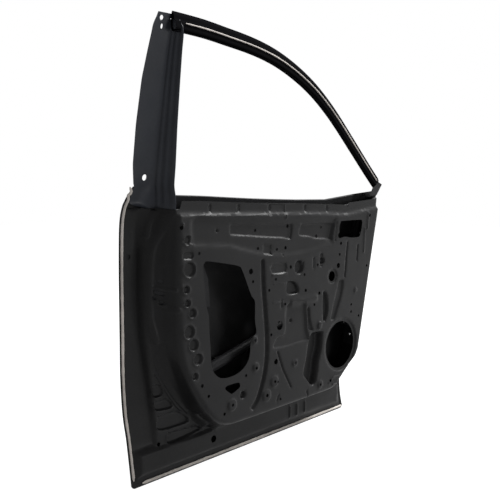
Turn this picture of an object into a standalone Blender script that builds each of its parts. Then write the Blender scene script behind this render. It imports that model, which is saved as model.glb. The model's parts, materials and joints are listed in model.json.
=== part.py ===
# Front left car door shell: pressed sheet steel body with its window frame.
# X runs forward from the rear hem, Y outboard, Z up from the bottom hem. Metres.
# Every pressing is drawn in the plan X-Z and pushed along Y, as its press tool does.
# "Shares" are places as parts of door_length (X) and door_height (Z), read off the real panel.

import math

import bmesh
import bpy
import numpy as np
from mathutils import Vector
from mathutils.bvhtree import BVHTree
from mathutils.geometry import delaunay_2d_cdt

for old_object in list(bpy.data.objects):
    bpy.data.objects.remove(old_object)

# Driving dimensions: the whole door
door_length = 1.134
door_height = 0.800
frame_rise = 0.423
skin_crown = 0.038
front_sweep = 0.045
frame_lean_share = -0.277
trim_plane_y = -0.070
seal_floor_y = 0.002
seal_land_y = -0.003
crease_y = -0.030
corner_round_y = -0.062
band_y = -0.010
belt_flange_y = -0.061

# The door's own origin: middle of its length and depth, level with the bottom hem
origin_share = 0.499
origin_depth = -0.0515

# Sheet gauges and fits
skin_gauge = 0.0008
panel_gauge = 0.0010
frame_gauge = 0.0010
belt_gauge = 0.0012
plate_gauge = 0.0016
hinge_gauge = 0.0025
beam_gauge = 0.0020
seat_gap = 0.0003
hem_width = 0.009
hem_inset = 0.0020
wall_seat = 0.0035

# Pressing depths and walls
emboss_depth = 0.006
emboss_wall = 0.004
step_depth = 0.006
step_wall = 0.006
belt_step_depth = 0.005
belt_step_wall = 0.010
upper_depth = 0.0105
upper_wall = 0.009
pocket_depth = 0.0095
middle_depth = 0.006
middle_wall = 0.008
dimple_depth = 0.012
dimple_wall = 0.007
deep_depth = 0.024
deep_wall = 0.010
bead_depth = 0.009
bead_width = 0.020
bead_wall = 0.005
groove_depth = 0.005
groove_wall = 0.003
boss_height = 0.004
boss_wall = 0.005
pad_depth = 0.004
pad_wall = 0.004
notch_width = 0.012
notch_height = 0.022
notch_depth = 0.003
cup_depth = 0.014
cup_wall = 0.016

# Holes
clip_radius = 0.0045
screw_radius = 0.0055
plug_radius = 0.0085
drain_radius = 0.0105
locator_radius = 0.0140
wiring_radius = 0.0170
speaker_radius = 0.0790
speaker_seat = 0.012
hinge_bolt_radius = 0.0065
strip_hole_radius = 0.0070

# Steps of the outline and small joins
edge_step = 0.045
trim_step = 0.035
line_step = 0.040
strip_step = 0.060
rail_step = 0.060
belt_step = 0.10
ridge_step = 0.12
crown_step_share = 0.02
edge_corner = 0.012
base_margin = 0.004
fold_top_share = 0.970
strip_set = 0.0025
belt_bevel = 0.010
bead_step = 0.045
groove_width = 0.008
band_bead = 0.005

# Outlines, as shares of door_length and door_height
rear_edge_shares = [
    (0.004, 0.000), (0.005, 0.075), (0.003, 0.163), (-0.002, 0.250), (-0.002, 0.375),
    (0.001, 0.500), (0.003, 0.625), (0.004, 0.787), (0.004, 0.887), (0.0064, 0.922), (0.008, 0.935),
    (0.018, 0.966), (0.030, 0.995),
]
front_edge_shares = [
    (0.849, 0.000), (0.844, 0.075), (0.847, 0.150), (0.869, 0.250), (0.899, 0.375),
    (0.935, 0.562), (0.966, 0.750), (0.992, 0.875), (0.9976, 0.928), (1.000, 0.958),
]
belt_edge_shares = [
    (0.030, 0.995), (0.088, 0.971), (0.153, 0.963), (0.250, 0.957), (0.435, 0.941),
    (0.615, 0.930), (0.746, 0.926), (0.869, 0.943), (0.966, 0.954), (1.000, 0.958),
]
crown_shares = [
    (0.00, 0.00), (0.12, 0.38), (0.35, 0.80), (0.62, 1.00), (0.80, 0.98), (0.90, 0.80), (1.00, 0.32),
]
trim_rear_shares = [
    (0.113, 0.896), (0.113, 0.750), (0.113, 0.525), (0.116, 0.438), (0.132, 0.362),
    (0.152, 0.312), (0.182, 0.250), (0.210, 0.200), (0.236, 0.170), (0.273, 0.151),
    (0.317, 0.148), (0.494, 0.148), (0.705, 0.150), (0.736, 0.164), (0.776, 0.206),
    (0.811, 0.237), (0.830, 0.255), (0.844, 0.280),
]
trim_front_top_shares = (0.944, 0.880)
round_line_shares = [
    (0.1025, 0.965), (0.100, 0.860), (0.099, 0.750), (0.099, 0.530), (0.104, 0.440), (0.122, 0.365),
    (0.142, 0.311), (0.173, 0.247), (0.207, 0.191), (0.236, 0.157), (0.279, 0.140),
    (0.330, 0.138), (0.494, 0.138), (0.705, 0.139),
]
crease_shares = [
    (0.0940, 0.965), (0.0885, 0.850), (0.086, 0.750), (0.086, 0.550), (0.090, 0.480), (0.098, 0.436),
    (0.119, 0.372), (0.143, 0.306), (0.173, 0.240), (0.207, 0.183), (0.245, 0.143),
    (0.291, 0.129), (0.340, 0.126), (0.494, 0.126), (0.705, 0.126),
]
seal_inner_shares = [
    (0.0890, 0.965), (0.082, 0.900), (0.073, 0.850), (0.066, 0.800), (0.063, 0.750), (0.063, 0.537),
    (0.068, 0.483), (0.078, 0.435), (0.097, 0.376), (0.120, 0.322), (0.143, 0.279), (0.166, 0.241),
    (0.190, 0.208), (0.213, 0.180), (0.238, 0.150), (0.262, 0.124),
]
seal_outer_shares = [
    (0.0865, 0.965), (0.078, 0.900), (0.067, 0.850), (0.058, 0.800), (0.054, 0.750), (0.054, 0.545),
    (0.062, 0.470), (0.081, 0.385), (0.105, 0.326), (0.128, 0.280), (0.151, 0.240), (0.170, 0.212),
    (0.189, 0.186), (0.216, 0.152), (0.238, 0.120),
]
strip_edge_shares = [
    (0.048, 0.965), (0.049, 0.750), (0.049, 0.560), (0.051, 0.500), (0.060, 0.400),
    (0.069, 0.290), (0.076, 0.190), (0.079, 0.126),
]
triangle_foot_shares = [
    (0.057, 0.490), (0.065, 0.400), (0.074, 0.290), (0.081, 0.190), (0.084, 0.124),
]
ledge_top_shares = [(0.084, 0.115), (0.150, 0.115), (0.225, 0.115), (0.262, 0.118)]
band_top_shares = [
    (0.028, 0.104), (0.084, 0.104), (0.180, 0.104), (0.250, 0.106), (0.310, 0.114),
    (0.494, 0.114), (0.705, 0.114), (0.745, 0.122), (0.812, 0.118),
]
band_bottom_shares = [(0.028, 0.042), (0.250, 0.042), (0.494, 0.042), (0.745, 0.042), (0.812, 0.042)]
band_front_shares = [(0.812, 0.042), (0.814, 0.080), (0.812, 0.118)]
band_rear_shares = [(0.028, 0.104), (0.028, 0.042)]
hem_land_shares = [(0.019, 0.115), (0.019, 0.030), (0.400, 0.030), (0.823, 0.030), (0.825, 0.115)]
strip_foot_shares = [(0.019, 0.122), (0.079, 0.126)]
belt_flange_shares = [(0.117, 0.955), (0.500, 0.945), (0.780, 0.930), (0.949, 0.945)]
hinge_foot_low_shares = [(0.822, 0.140), (0.838, 0.205)]
hinge_foot_top_shares = (0.9585, 0.940)
belt_ridge_shares = [
    (0.113, 0.896), (0.180, 0.893), (0.441, 0.881), (0.661, 0.869), (0.767, 0.860),
    (0.830, 0.866), (0.900, 0.876), (0.944, 0.880),
]
panel_top_shares = [
    (0.010, 0.922), (0.060, 0.922), (0.090, 0.922), (0.1140, 0.920), (0.1215, 0.946),
    (0.180, 0.944), (0.353, 0.931), (0.573, 0.919), (0.758, 0.906), (0.778, 0.902),
    (0.794, 0.912), (0.860, 0.917), (0.917, 0.922), (0.950, 0.930), (0.985, 0.928),
]

# Large openings in the inner panel
access_hole_shares = [
    (0.182, 0.700), (0.181, 0.725), (0.187, 0.738), (0.198, 0.740), (0.256, 0.725),
    (0.304, 0.710), (0.317, 0.695), (0.333, 0.652), (0.348, 0.608), (0.356, 0.590),
    (0.364, 0.580), (0.367, 0.562), (0.367, 0.500), (0.372, 0.469), (0.371, 0.453),
    (0.360, 0.444), (0.351, 0.431), (0.348, 0.388), (0.342, 0.362), (0.328, 0.340),
    (0.304, 0.324), (0.273, 0.318), (0.243, 0.323), (0.222, 0.341), (0.208, 0.375),
    (0.204, 0.450), (0.201, 0.500), (0.199, 0.550), (0.190, 0.594), (0.185, 0.650),
]
hex_hole_shares = [
    (0.257, 0.278), (0.262, 0.289), (0.304, 0.289), (0.310, 0.278), (0.307, 0.268),
    (0.289, 0.258), (0.280, 0.255), (0.272, 0.261),
]
mirror_hole_shares = [
    (0.743, 0.835), (0.750, 0.839), (0.842, 0.838), (0.852, 0.833), (0.854, 0.819),
    (0.848, 0.787), (0.841, 0.769), (0.833, 0.765), (0.798, 0.766), (0.767, 0.772),
    (0.750, 0.770), (0.737, 0.769), (0.731, 0.774), (0.729, 0.785), (0.736, 0.792),
    (0.735, 0.810), (0.739, 0.828),
]
speaker_place_shares = (0.752, 0.319)
striker_slot_shares = [
    (0.0675, 0.655), (0.076, 0.651), (0.086, 0.647), (0.087, 0.634), (0.076, 0.638), (0.0685, 0.642),
]

# Pressings of the inner panel that are drawn by their own outline
belt_step_shares = [
    (0.146, 0.800), (0.176, 0.788), (0.273, 0.776), (0.309, 0.763), (0.357, 0.746),
    (0.406, 0.732), (0.459, 0.725), (0.520, 0.721), (0.608, 0.727), (0.688, 0.745),
    (0.707, 0.756), (0.724, 0.850), (0.707, 0.858), (0.608, 0.864), (0.494, 0.873),
    (0.350, 0.884), (0.240, 0.890), (0.146, 0.892),
]
middle_recess_shares = [
    (0.446, 0.374), (0.564, 0.371), (0.600, 0.374), (0.592, 0.412), (0.588, 0.450),
    (0.584, 0.494), (0.578, 0.534), (0.530, 0.550), (0.496, 0.536), (0.490, 0.481),
    (0.487, 0.431), (0.454, 0.419),
]
upper_recess_rear_shares = [
    (0.275, 0.815), (0.304, 0.806), (0.353, 0.799), (0.397, 0.792), (0.441, 0.786),
    (0.481, 0.781), (0.511, 0.774), (0.526, 0.780), (0.534, 0.825), (0.527, 0.852),
    (0.494, 0.857), (0.397, 0.864), (0.291, 0.870), (0.275, 0.858),
]
upper_recess_front_shares = [
    (0.549, 0.790), (0.564, 0.781), (0.600, 0.775), (0.626, 0.766), (0.670, 0.760),
    (0.704, 0.757), (0.711, 0.785), (0.720, 0.830), (0.711, 0.842), (0.670, 0.847),
    (0.573, 0.852), (0.559, 0.845), (0.549, 0.820),
]
shelf_pocket_shares = [(0.401, 0.739), (0.438, 0.731), (0.440, 0.774), (0.403, 0.781)]
deep_recess_shares = [
    (0.603, 0.395), (0.617, 0.403), (0.660, 0.398), (0.661, 0.375), (0.658, 0.328),
    (0.645, 0.278), (0.640, 0.237), (0.632, 0.194), (0.620, 0.182), (0.608, 0.185),
    (0.589, 0.212), (0.572, 0.240), (0.575, 0.268), (0.584, 0.307), (0.592, 0.360),
]
leaf_front_shares = [
    (0.660, 0.450), (0.658, 0.512), (0.660, 0.557), (0.668, 0.562), (0.679, 0.550),
    (0.685, 0.519), (0.687, 0.485), (0.682, 0.453), (0.672, 0.432), (0.663, 0.438),
]
leaf_rear_shares = [
    (0.586, 0.502), (0.593, 0.512), (0.599, 0.495), (0.603, 0.456), (0.610, 0.431),
    (0.616, 0.412), (0.608, 0.408), (0.600, 0.412), (0.591, 0.422), (0.589, 0.456),
]
diagonal_recess_shares = [
    (0.698, 0.435), (0.711, 0.497), (0.725, 0.550), (0.737, 0.593), (0.760, 0.593),
    (0.760, 0.557), (0.750, 0.515), (0.734, 0.470), (0.718, 0.432),
]
dark_panel_shares = [
    (0.499, 0.624), (0.527, 0.623), (0.544, 0.603), (0.549, 0.575), (0.529, 0.569),
    (0.510, 0.570), (0.496, 0.578), (0.494, 0.600),
]
shelf_recess_shares = [(0.434, 0.664), (0.490, 0.661), (0.492, 0.698), (0.434, 0.700)]
corner_pads_shares = [
    [(0.0815, 0.330), (0.0900, 0.318), (0.0980, 0.295), (0.0820, 0.295)],
    [(0.0830, 0.275), (0.1080, 0.270), (0.1230, 0.242), (0.0860, 0.242)],
    [(0.0880, 0.222), (0.1330, 0.222), (0.1560, 0.190), (0.0900, 0.186)],
    [(0.0930, 0.166), (0.1680, 0.170), (0.1960, 0.138), (0.0960, 0.134)],
]
bead_line_shares = [
    (0.397, 0.713), (0.400, 0.625), (0.406, 0.550), (0.411, 0.487), (0.414, 0.425),
    (0.414, 0.362), (0.407, 0.300), (0.393, 0.244), (0.377, 0.200), (0.360, 0.177),
]
groove_lines_shares = [
    [(0.779, 0.748), (0.773, 0.680), (0.767, 0.604)],
    [(0.833, 0.731), (0.829, 0.666)],
    [(0.459, 0.362), (0.481, 0.290), (0.516, 0.210)],
    [(0.481, 0.728), (0.484, 0.774)],
]
ridge_lines_shares = [
    [(0.4938, 0.5562), (0.6085, 0.5500)],
    [(0.8642, 0.700), (0.8677, 0.800)],
]
band_bead_places_shares = [0.577, 0.609, 0.646]
band_bead_height_shares = (0.045, 0.098)
notch_places_shares = [0.212, 0.313, 0.432, 0.582, 0.683]

# Round pressings: place, radius in plan, and which way they go
margin_emboss_shares = [
    (0.1365, 0.719, 0.0195), (0.126, 0.654, 0.0105), (0.129, 0.608, 0.0105), (0.145, 0.572, 0.0125),
    (0.134, 0.510, 0.0175), (0.148, 0.463, 0.0160), (0.162, 0.411, 0.0155), (0.152, 0.354, 0.0105),
    (0.131, 0.817, 0.0125),
]
round_dimple_shares = [
    (0.549, 0.673, 0.021), (0.519, 0.469, 0.010), (0.655, 0.685, 0.012), (0.322, 0.2375, 0.012),
    (0.2337, 0.840, 0.008),
]
boss_shares = [
    (0.280, 0.215, 0.018), (0.370, 0.328, 0.014), (0.445, 0.252, 0.018), (0.413, 0.208, 0.019),
    (0.649, 0.180, 0.014), (0.365, 0.430, 0.013),
]

# Small holes: place, kind
clip_places_shares = [
    (0.384, 0.763), (0.460, 0.752), (0.379, 0.829), (0.359, 0.646), (0.450, 0.641),
    (0.423, 0.604), (0.432, 0.434), (0.280, 0.215), (0.370, 0.325), (0.333, 0.306),
    (0.198, 0.272), (0.253, 0.190), (0.472, 0.175), (0.459, 0.246), (0.445, 0.252),
    (0.649, 0.179), (0.573, 0.641), (0.633, 0.672), (0.619, 0.514), (0.489, 0.540),
    (0.661, 0.819), (0.739, 0.702), (0.882, 0.637), (0.802, 0.481), (0.802, 0.450),
    (0.842, 0.425), (0.787, 0.902), (0.168, 0.770), (0.365, 0.430),
]
screw_places_shares = [
    (0.496, 0.754), (0.510, 0.835), (0.639, 0.785), (0.512, 0.679), (0.579, 0.578),
    (0.642, 0.556), (0.413, 0.208), (0.701, 0.179), (0.745, 0.747), (0.895, 0.854),
    (0.176, 0.315), (0.113, 0.860),
]
plug_places_shares = [(0.351, 0.684), (0.733, 0.656), (0.452, 0.326)]
latch_places_shares = [(0.0807, 0.683), (0.0695, 0.630), (0.0807, 0.612)]
drain_place_shares = (0.268, 0.076)
triangle_hole_shares = (0.091, 0.121)
locator_place_shares = (0.467, 0.462)
wiring_place_shares = (0.706, 0.615)
strip_hole_shares = (0.030, 0.764)

# Hinge wall: the bolts sit at these heights, at these depths from the trim face
hinge_bolt_shares = [(0.377, 1.05), (0.334, 0.60), (0.769, 0.84), (0.726, 0.36)]
check_slot_share = 0.620
check_slot_height = 0.030
check_slot_depth = 0.014
check_nut_shares = [(0.591, 0.62), (0.649, 0.62)]
hinge_draft_share = 0.158

# Outer handle: cup in the skin with its two mountings
handle_place_shares = (0.155, 0.775)
handle_cup_length = 0.110
handle_cup_height = 0.056
handle_rear_slot = 0.026
handle_front_slot = 0.018
handle_spread_share = 0.0635

# Window frame
# Heights below the belt are shares of door_height; those above it are shares of the frame's own rise
sash_low_shares = [0.86526, 0.89432, 0.92367, 0.93407, 0.96602, 0.99506]
sash_rise_shares = [0.11817, 0.35525, 0.61546, 0.78026, 0.87279]
sash_edge_shares = [
    0.058, 0.058, 0.058, 0.0186, 0.0268, 0.0318, 0.0198, 0.0101, 0.0057, 0.0094, 0.0122,
]
sash_root_shares = [0.0838, 0.0838, 0.0838, 0.0790, 0.0716, 0.0645, 0.0608, 0.0600]
sash_window_shares = [0.1050, 0.1067, 0.1076, 0.1040, 0.0940, 0.0840, 0.0780, 0.0757]
sash_root_depths = [0.020, 0.0138, 0.006, 0.005, 0.004, 0.003, 0.002, 0.002]
sash_box_depths = [0.064, 0.060, 0.056, 0.053, 0.046, 0.040, 0.037, 0.035]
sash_tab_shares = [(0.91326, 0.0125, 0.058), (0.95663, 0.0190, 0.058), (0.98265, 0.0215, 0.058)]
sash_hole_share = (0.058, 0.0430)
tab_hole_share = (0.0325, 0.9537)
tab_slot_share = (0.0360, 0.9075)
sash_hole_stretch_share = 1.15
tab_slot_stretch_share = 0.6
sash_middle_share = 0.55
sash_return_shares = (0.80, 0.45)
sash_profile_shares = [
    (0.00, 0.00), (0.14, 0.24), (0.34, 0.30), (0.46, 0.56), (0.66, 0.63), (0.78, 0.92),
    (0.92, 1.00), (1.00, 0.96),
]
sash_return = 0.014
sash_lip = 0.004
sash_set = 0.0034
header_edge_shares = [
    (0.0585, 1.00000), (0.146, 0.98988), (0.233, 0.96704), (0.321, 0.93928), (0.409, 0.89302),
    (0.501, 0.81496), (0.598, 0.70220), (0.701, 0.54318), (0.810, 0.34513), (0.919, 0.14130),
    (0.985, 0.01986),
]
header_depth = 0.042
header_band = 0.021
header_groove = 0.009
header_rise = 0.018
header_step = 0.006
header_lip = 0.004
header_wall_shares = (0.25, 1.25)
header_groove_shares = (0.72, 0.80, 0.86, 0.20)
header_bead_share = 0.78

# Side impact beam
beam_radius = 0.016
beam_skin_gap = 0.006
beam_rear_shares = (0.163, 0.300)
beam_front_shares = (0.862, 0.546)

beam_pad_shares = [0.22, 0.50, 0.78]
pad_length = 0.030
pad_height = 0.010
bracket_height_share = 0.0625
bracket_inset_share = 0.09
bracket_turn_shares = (0.333, 0.2)

# Sealer, stiffeners, channels and nuts
bead_radius = 0.0022
belt_lip = 0.008
inner_belt_height = 0.032
inner_belt_shares = (0.13, 0.93)
outer_belt_shares = (0.12, 0.96)
latch_plate_shares = (0.565, 0.735)
handle_plate_shares = [
    (0.100, 0.715), (0.225, 0.712), (0.244, 0.640), (0.248, 0.560), (0.282, 0.556),
    (0.276, 0.660), (0.250, 0.740), (0.214, 0.830), (0.100, 0.834),
]
corner_bracket_shares = [(0.925, 0.934), (0.960, 0.938), (0.972, 0.985), (0.952, 0.995), (0.930, 0.968)]
rear_channel_shares = [(0.1013, 0.890), (0.1013, 0.470)]
front_channel_shares = [(0.890, 0.900), (0.800, 0.520)]
corner_set = 0.0345
channel_width = 0.016
channel_deep = 0.012
channel_bow = 0.008
channel_y = -0.0375
nut_radius = 0.0085
nut_height = 0.0075
nut_bore_share = 0.55
check_nut_share = 0.8
plate_reach = 0.034


def spots(shares):
    """Plan places in metres from shares of the door's length and height."""
    return [(x * door_length, z * door_height) for x, z in shares]


def frame_level(share):
    """Height of a place in the window frame, from its share of the frame's rise over the belt."""
    return door_height + share * frame_rise


def smooth(points, step):
    """A smooth line through plan points, with a point about every step."""
    ends = [points[0]] + list(points) + [points[-1]]
    line = []
    for a, b, c, d in zip(ends, ends[1:], ends[2:], ends[3:]):
        length = math.dist(b, c)
        count = max(1, round(length / step))
        for k in range(count):
            t = k / count
            line.append(tuple(
                0.5 * (2 * q + (r - p) * t + (2 * p - 5 * q + 4 * r - s) * t * t
                       + (3 * q - p - 3 * r + s) * t ** 3)
                for p, q, r, s in zip(a, b, c, d)))
    line.append(tuple(points[-1]))
    return line


def arc_loop(x, z, radius_x, radius_z, count):
    """A round loop in plan."""
    turns = [2 * math.pi * k / count for k in range(count)]
    return [(x + radius_x * math.cos(t), z + radius_z * math.sin(t)) for t in turns]


def loop_area(loop):
    """Signed plan area of a closed loop."""
    return 0.5 * sum(a[0] * b[1] - b[0] * a[1] for a, b in zip(loop, loop[1:] + loop[:1]))


def shift_line(points, distance, closed):
    """The points moved sideways to the left of their run by distance."""
    moved = []
    last = len(points) - 1
    for k, point in enumerate(points):
        before = points[k - 1] if (closed or k > 0) else points[k]
        after = points[(k + 1) % len(points)] if (closed or k < last) else points[k]
        first = Vector((point[0] - before[0], point[1] - before[1]))
        second = Vector((after[0] - point[0], after[1] - point[1]))
        first = second.copy() if first.length == 0 else first
        second = first.copy() if second.length == 0 else second
        first.normalize()
        second.normalize()
        side = Vector((-first.y - second.y, first.x + second.x))
        side.normalize()
        stretch = 1 / max(side.dot(Vector((-first.y, first.x))), 0.6)
        moved.append((point[0] + side.x * distance * stretch, point[1] + side.y * distance * stretch))
    return moved


def inset_loop(loop, distance):
    """A closed loop shrunk by distance."""
    return shift_line(loop, distance if loop_area(loop) > 0 else -distance, True)


def capsule_loop(line, width, arc_count):
    """A closed loop of round-ended width about a plan line."""
    half = width / 2
    left = shift_line(line, half, False)
    right = shift_line(line, -half, False)
    ends = []
    for tip, near, start in ((line[-1], line[-2], right[-1]), (line[0], line[1], left[0])):
        turn = math.atan2(start[1] - tip[1], start[0] - tip[0])
        ends.append([
            (tip[0] + half * math.cos(turn + math.pi * k / arc_count),
             tip[1] + half * math.sin(turn + math.pi * k / arc_count))
            for k in range(1, arc_count)])
    return right + ends[0] + left[::-1] + ends[1]


def inside_loop(x, z, loop):
    """For arrays of places: which lie inside the loop, and how far from its edge."""
    xs = np.asarray(x)
    zs = np.asarray(z)
    within = np.zeros(xs.shape, bool)
    nearest = np.full(xs.shape, np.inf)
    for (ax, az), (bx, bz) in zip(loop, loop[1:] + loop[:1]):
        crosses = (az > zs) != (bz > zs)
        rise = bz - az if bz != az else 1.0
        within ^= crosses & (xs < (bx - ax) * (zs - az) / rise + ax)
        span = (bx - ax) ** 2 + (bz - az) ** 2
        t = np.clip(((xs - ax) * (bx - ax) + (zs - az) * (bz - az)) / max(span, 1e-18), 0, 1)
        nearest = np.minimum(nearest, np.hypot(xs - ax - t * (bx - ax), zs - az - t * (bz - az)))
    return within, nearest


crown_line = smooth(crown_shares, crown_step_share)


def body_side(x, z):
    """Y of the car's outer surface: crowned door below the belt, leaning frame above it."""
    share = np.asarray(z) / door_height
    crown = skin_crown * np.interp(share, [h for h, _ in crown_line], [c for _, c in crown_line])
    lean = frame_lean_share * np.maximum(np.asarray(z) - door_height, 0)
    sweep = front_sweep * (np.asarray(x) / door_length) ** 2 * np.clip(share, 0, 1)
    return crown + lean - sweep


def hem_seat(x, z):
    """Y of the inner panel's cabin face where it lies in the hem."""
    return body_side(x, z) - skin_gauge - seat_gap - panel_gauge


def hinge_wall_x(y, z):
    """X of the hinge wall at a height and a depth."""
    top_x, top_z = spots([trim_front_top_shares])[0]
    low_x, low_z = spots([trim_rear_shares[-1]])[0]
    return low_x + (top_x - low_x) * (z - low_z) / (top_z - low_z) + hinge_draft_share * (y - trim_plane_y)


def finish(name, color, roughness, metallic):
    """A plain painted or bare finish."""
    material = bpy.data.materials.get(name) or bpy.data.materials.new(name)
    material.use_nodes = True
    shader = material.node_tree.nodes["Principled BSDF"]
    shader.inputs["Base Color"].default_value = (*color, 1)
    shader.inputs["Roughness"].default_value = roughness
    shader.inputs["Metallic"].default_value = metallic
    return material


primer = finish("dark_primer", (0.040, 0.040, 0.042), 0.45, 0.0)
frame_black = finish("frame_black", (0.024, 0.025, 0.029), 0.38, 0.0)
sealer = finish("seam_sealer", (0.60, 0.53, 0.48), 0.60, 0.0)
mastic = finish("mastic", (0.05, 0.05, 0.05), 0.80, 0.0)
nut_steel = finish("nut_steel", (0.045, 0.045, 0.047), 0.40, 0.3)


def thickened(vertices, faces, gauge, side):
    """A closed body from a sheet: its second skin lies a gauge away, on the side asked for."""
    places = np.array(vertices, float)
    normals = np.zeros_like(places)
    flats = []
    for face in faces:
        corners = places[list(face)]
        flat = np.cross(corners[1] - corners[0], corners[2] - corners[0])
        if len(face) == 4:
            flat = np.cross(corners[2] - corners[0], corners[3] - corners[1])
        flat /= max(np.linalg.norm(flat), 1e-15)
        flats.append(flat)
        for k, corner in enumerate(face):
            ahead = corners[(k + 1) % len(face)] - corners[k]
            behind = corners[k - 1] - corners[k]
            size = max(np.linalg.norm(ahead) * np.linalg.norm(behind), 1e-15)
            normals[corner] += flat * math.acos(max(-1.0, min(1.0, float(ahead @ behind) / size)))
    normals /= np.maximum(np.linalg.norm(normals, axis=1), 1e-15)[:, None]
    stretch = np.ones(len(places))
    for face, flat in zip(faces, flats):
        for corner in face:
            stretch[corner] = max(stretch[corner], 1 / max(float(normals[corner] @ flat), 0.62))
    second = places + normals * (side * gauge * stretch)[:, None]
    count = len(places)
    uses = {}
    for face in faces:
        for a, b in zip(face, tuple(face[1:]) + tuple(face[:1])):
            uses[(a, b)] = True
    rims = [(a, b) for a, b in uses if (b, a) not in uses]
    flip = side > 0
    body = [tuple(face)[::-1] if flip else tuple(face) for face in faces]
    body += [tuple(c + count for c in (face if flip else tuple(face)[::-1])) for face in faces]
    body += [(a, b, b + count, a + count) if flip else (b, a, a + count, b + count) for a, b in rims]
    return np.vstack([places, second]), body


def add_object(name, vertices, faces, material, gauge=None, side=-1):
    """An object from points and faces; a gauge thickens it into a sheet."""
    if gauge:
        vertices, faces = thickened(vertices, faces, gauge, side)
    mesh = bpy.data.meshes.new(name)
    mesh.from_pydata([tuple(v) for v in vertices], [], faces)
    mesh.validate()
    mesh.materials.append(material)
    item = bpy.data.objects.new(name, mesh)
    bpy.context.collection.objects.link(item)
    mesh.shade_smooth()
    mesh.set_sharp_from_angle(angle=math.radians(35))
    return item


def plan_sheet(name, outline, holes, lines, height, gauge, material, side=-1):
    """A pressed sheet: triangles in plan between all the lines, each point set at its height.

    Side -1 adds the gauge outboard of the given surface, side 1 adds it on the cabin side.
    """
    points = []
    edges = []
    for line, closed in [(outline, True)] + [(h, True) for h in holes] + lines:
        first = len(points)
        points.extend(Vector(p) for p in line)
        edges.extend((first + k, first + k + 1) for k in range(len(line) - 1))
        if closed:
            edges.append((len(points) - 1, first))
    flat, _, triangles, _, _, _ = delaunay_2d_cdt(points, edges, [], 0, 1e-7)
    plan = np.array([(p.x, p.y) for p in flat])
    corners = np.array(triangles)
    middle = plan[corners].mean(axis=1)
    keep, _ = inside_loop(middle[:, 0], middle[:, 1], outline)
    for hole in holes:
        within, _ = inside_loop(middle[:, 0], middle[:, 1], hole)
        keep &= ~within
    corners = corners[keep]
    used = np.unique(corners)
    renumber = {old: new for new, old in enumerate(used)}
    levels = height(plan[used, 0], plan[used, 1])
    vertices = [(x, y, z) for (x, z), y in zip(plan[used], levels)]
    faces = [[renumber[c] for c in corner] for corner in corners.tolist()]
    return add_object(name, vertices, faces, material, gauge, side)


def grid_sheet(name, rows, material, gauge=None, side=-1, ring=False, caps=False):
    """A sheet or a bar from rows of points; ring joins each row's ends."""
    count = len(rows[0])
    vertices = [point for row in rows for point in row]
    faces = []
    for r in range(len(rows) - 1):
        for c in range(count if ring else count - 1):
            n = (c + 1) % count
            faces.append((r * count + c, r * count + n, (r + 1) * count + n, (r + 1) * count + c))
    if caps:
        faces.append(tuple(range(count))[::-1])
        faces.append(tuple((len(rows) - 1) * count + c for c in range(count)))
    return add_object(name, vertices, faces, material, gauge, side)


def turn_outward(item):
    """Makes a closed body's faces point out."""
    body = bmesh.new()
    body.from_mesh(item.data)
    bmesh.ops.recalc_face_normals(body, faces=body.faces)
    body.to_mesh(item.data)
    body.free()


# The inner panel's base form: plan lines, each left at its own depth by the press
def base_lines():
    """Plan lines with their depths; None means just inboard of the hem seat."""
    top_x, top_z = spots([trim_front_top_shares])[0]
    trim_rear = smooth(spots(trim_rear_shares), trim_step)
    wall_heights = np.linspace(trim_rear[-1][1], top_z, 5)
    trim_front = [(hinge_wall_x(trim_plane_y, z), z) for z in wall_heights]
    hinge_foot = []
    for z in wall_heights:
        near = float(hem_seat(hinge_wall_x(0, z), z)) - strip_set
        hinge_foot.append((hinge_wall_x(near, z), z))
    ridge = smooth(spots(belt_ridge_shares), ridge_step)
    bevel = shift_line(ridge, belt_bevel, False)
    return [
        (trim_rear + trim_front[1:], trim_plane_y),
        (smooth(spots(round_line_shares), line_step), corner_round_y),
        (smooth(spots(crease_shares), line_step), crease_y),
        (smooth(spots(seal_inner_shares), line_step), seal_land_y),
        (smooth(spots(seal_outer_shares), line_step), seal_floor_y),
        (spots(triangle_foot_shares), seal_floor_y),
        (spots(ledge_top_shares), seal_floor_y),
        (smooth(spots(band_top_shares), ridge_step), band_y),
        (spots(band_bottom_shares), band_y),
        (spots(band_front_shares), band_y),
        (spots(band_rear_shares), band_y),
        (ridge, trim_plane_y),
        (bevel, belt_flange_y),
        (spots(belt_flange_shares), belt_flange_y),
        (smooth(spots(strip_edge_shares), strip_step), None),
        (spots(strip_foot_shares), None),
        (spots(hem_land_shares), None),
        (spots(hinge_foot_low_shares) + hinge_foot + spots([hinge_foot_top_shares]), None),
    ]


def edge_path(step):
    """The folded edge: down the front, along the bottom, up the rear, with rounded corners."""
    front = smooth(spots(front_edge_shares), step)[::-1]
    rear = smooth(spots(rear_edge_shares), step)
    path = [p for p in front if p[1] > edge_corner]
    for k in range(4):
        turn = math.pi / 2 * k / 3
        path.append((front[-1][0] - edge_corner + edge_corner * math.cos(turn),
                     edge_corner - edge_corner * math.sin(turn)))
    count = round((front[-1][0] - rear[0][0]) / (2 * step))
    for k in range(1, count):
        path.append((front[-1][0] + (rear[0][0] - front[-1][0]) * k / count, 0))
    for k in range(4):
        turn = math.pi / 2 * k / 3
        path.append((rear[0][0] + edge_corner - edge_corner * math.sin(turn),
                     edge_corner - edge_corner * math.cos(turn)))
    return path + [p for p in rear if p[1] > edge_corner]


door_path = edge_path(edge_step)


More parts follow.
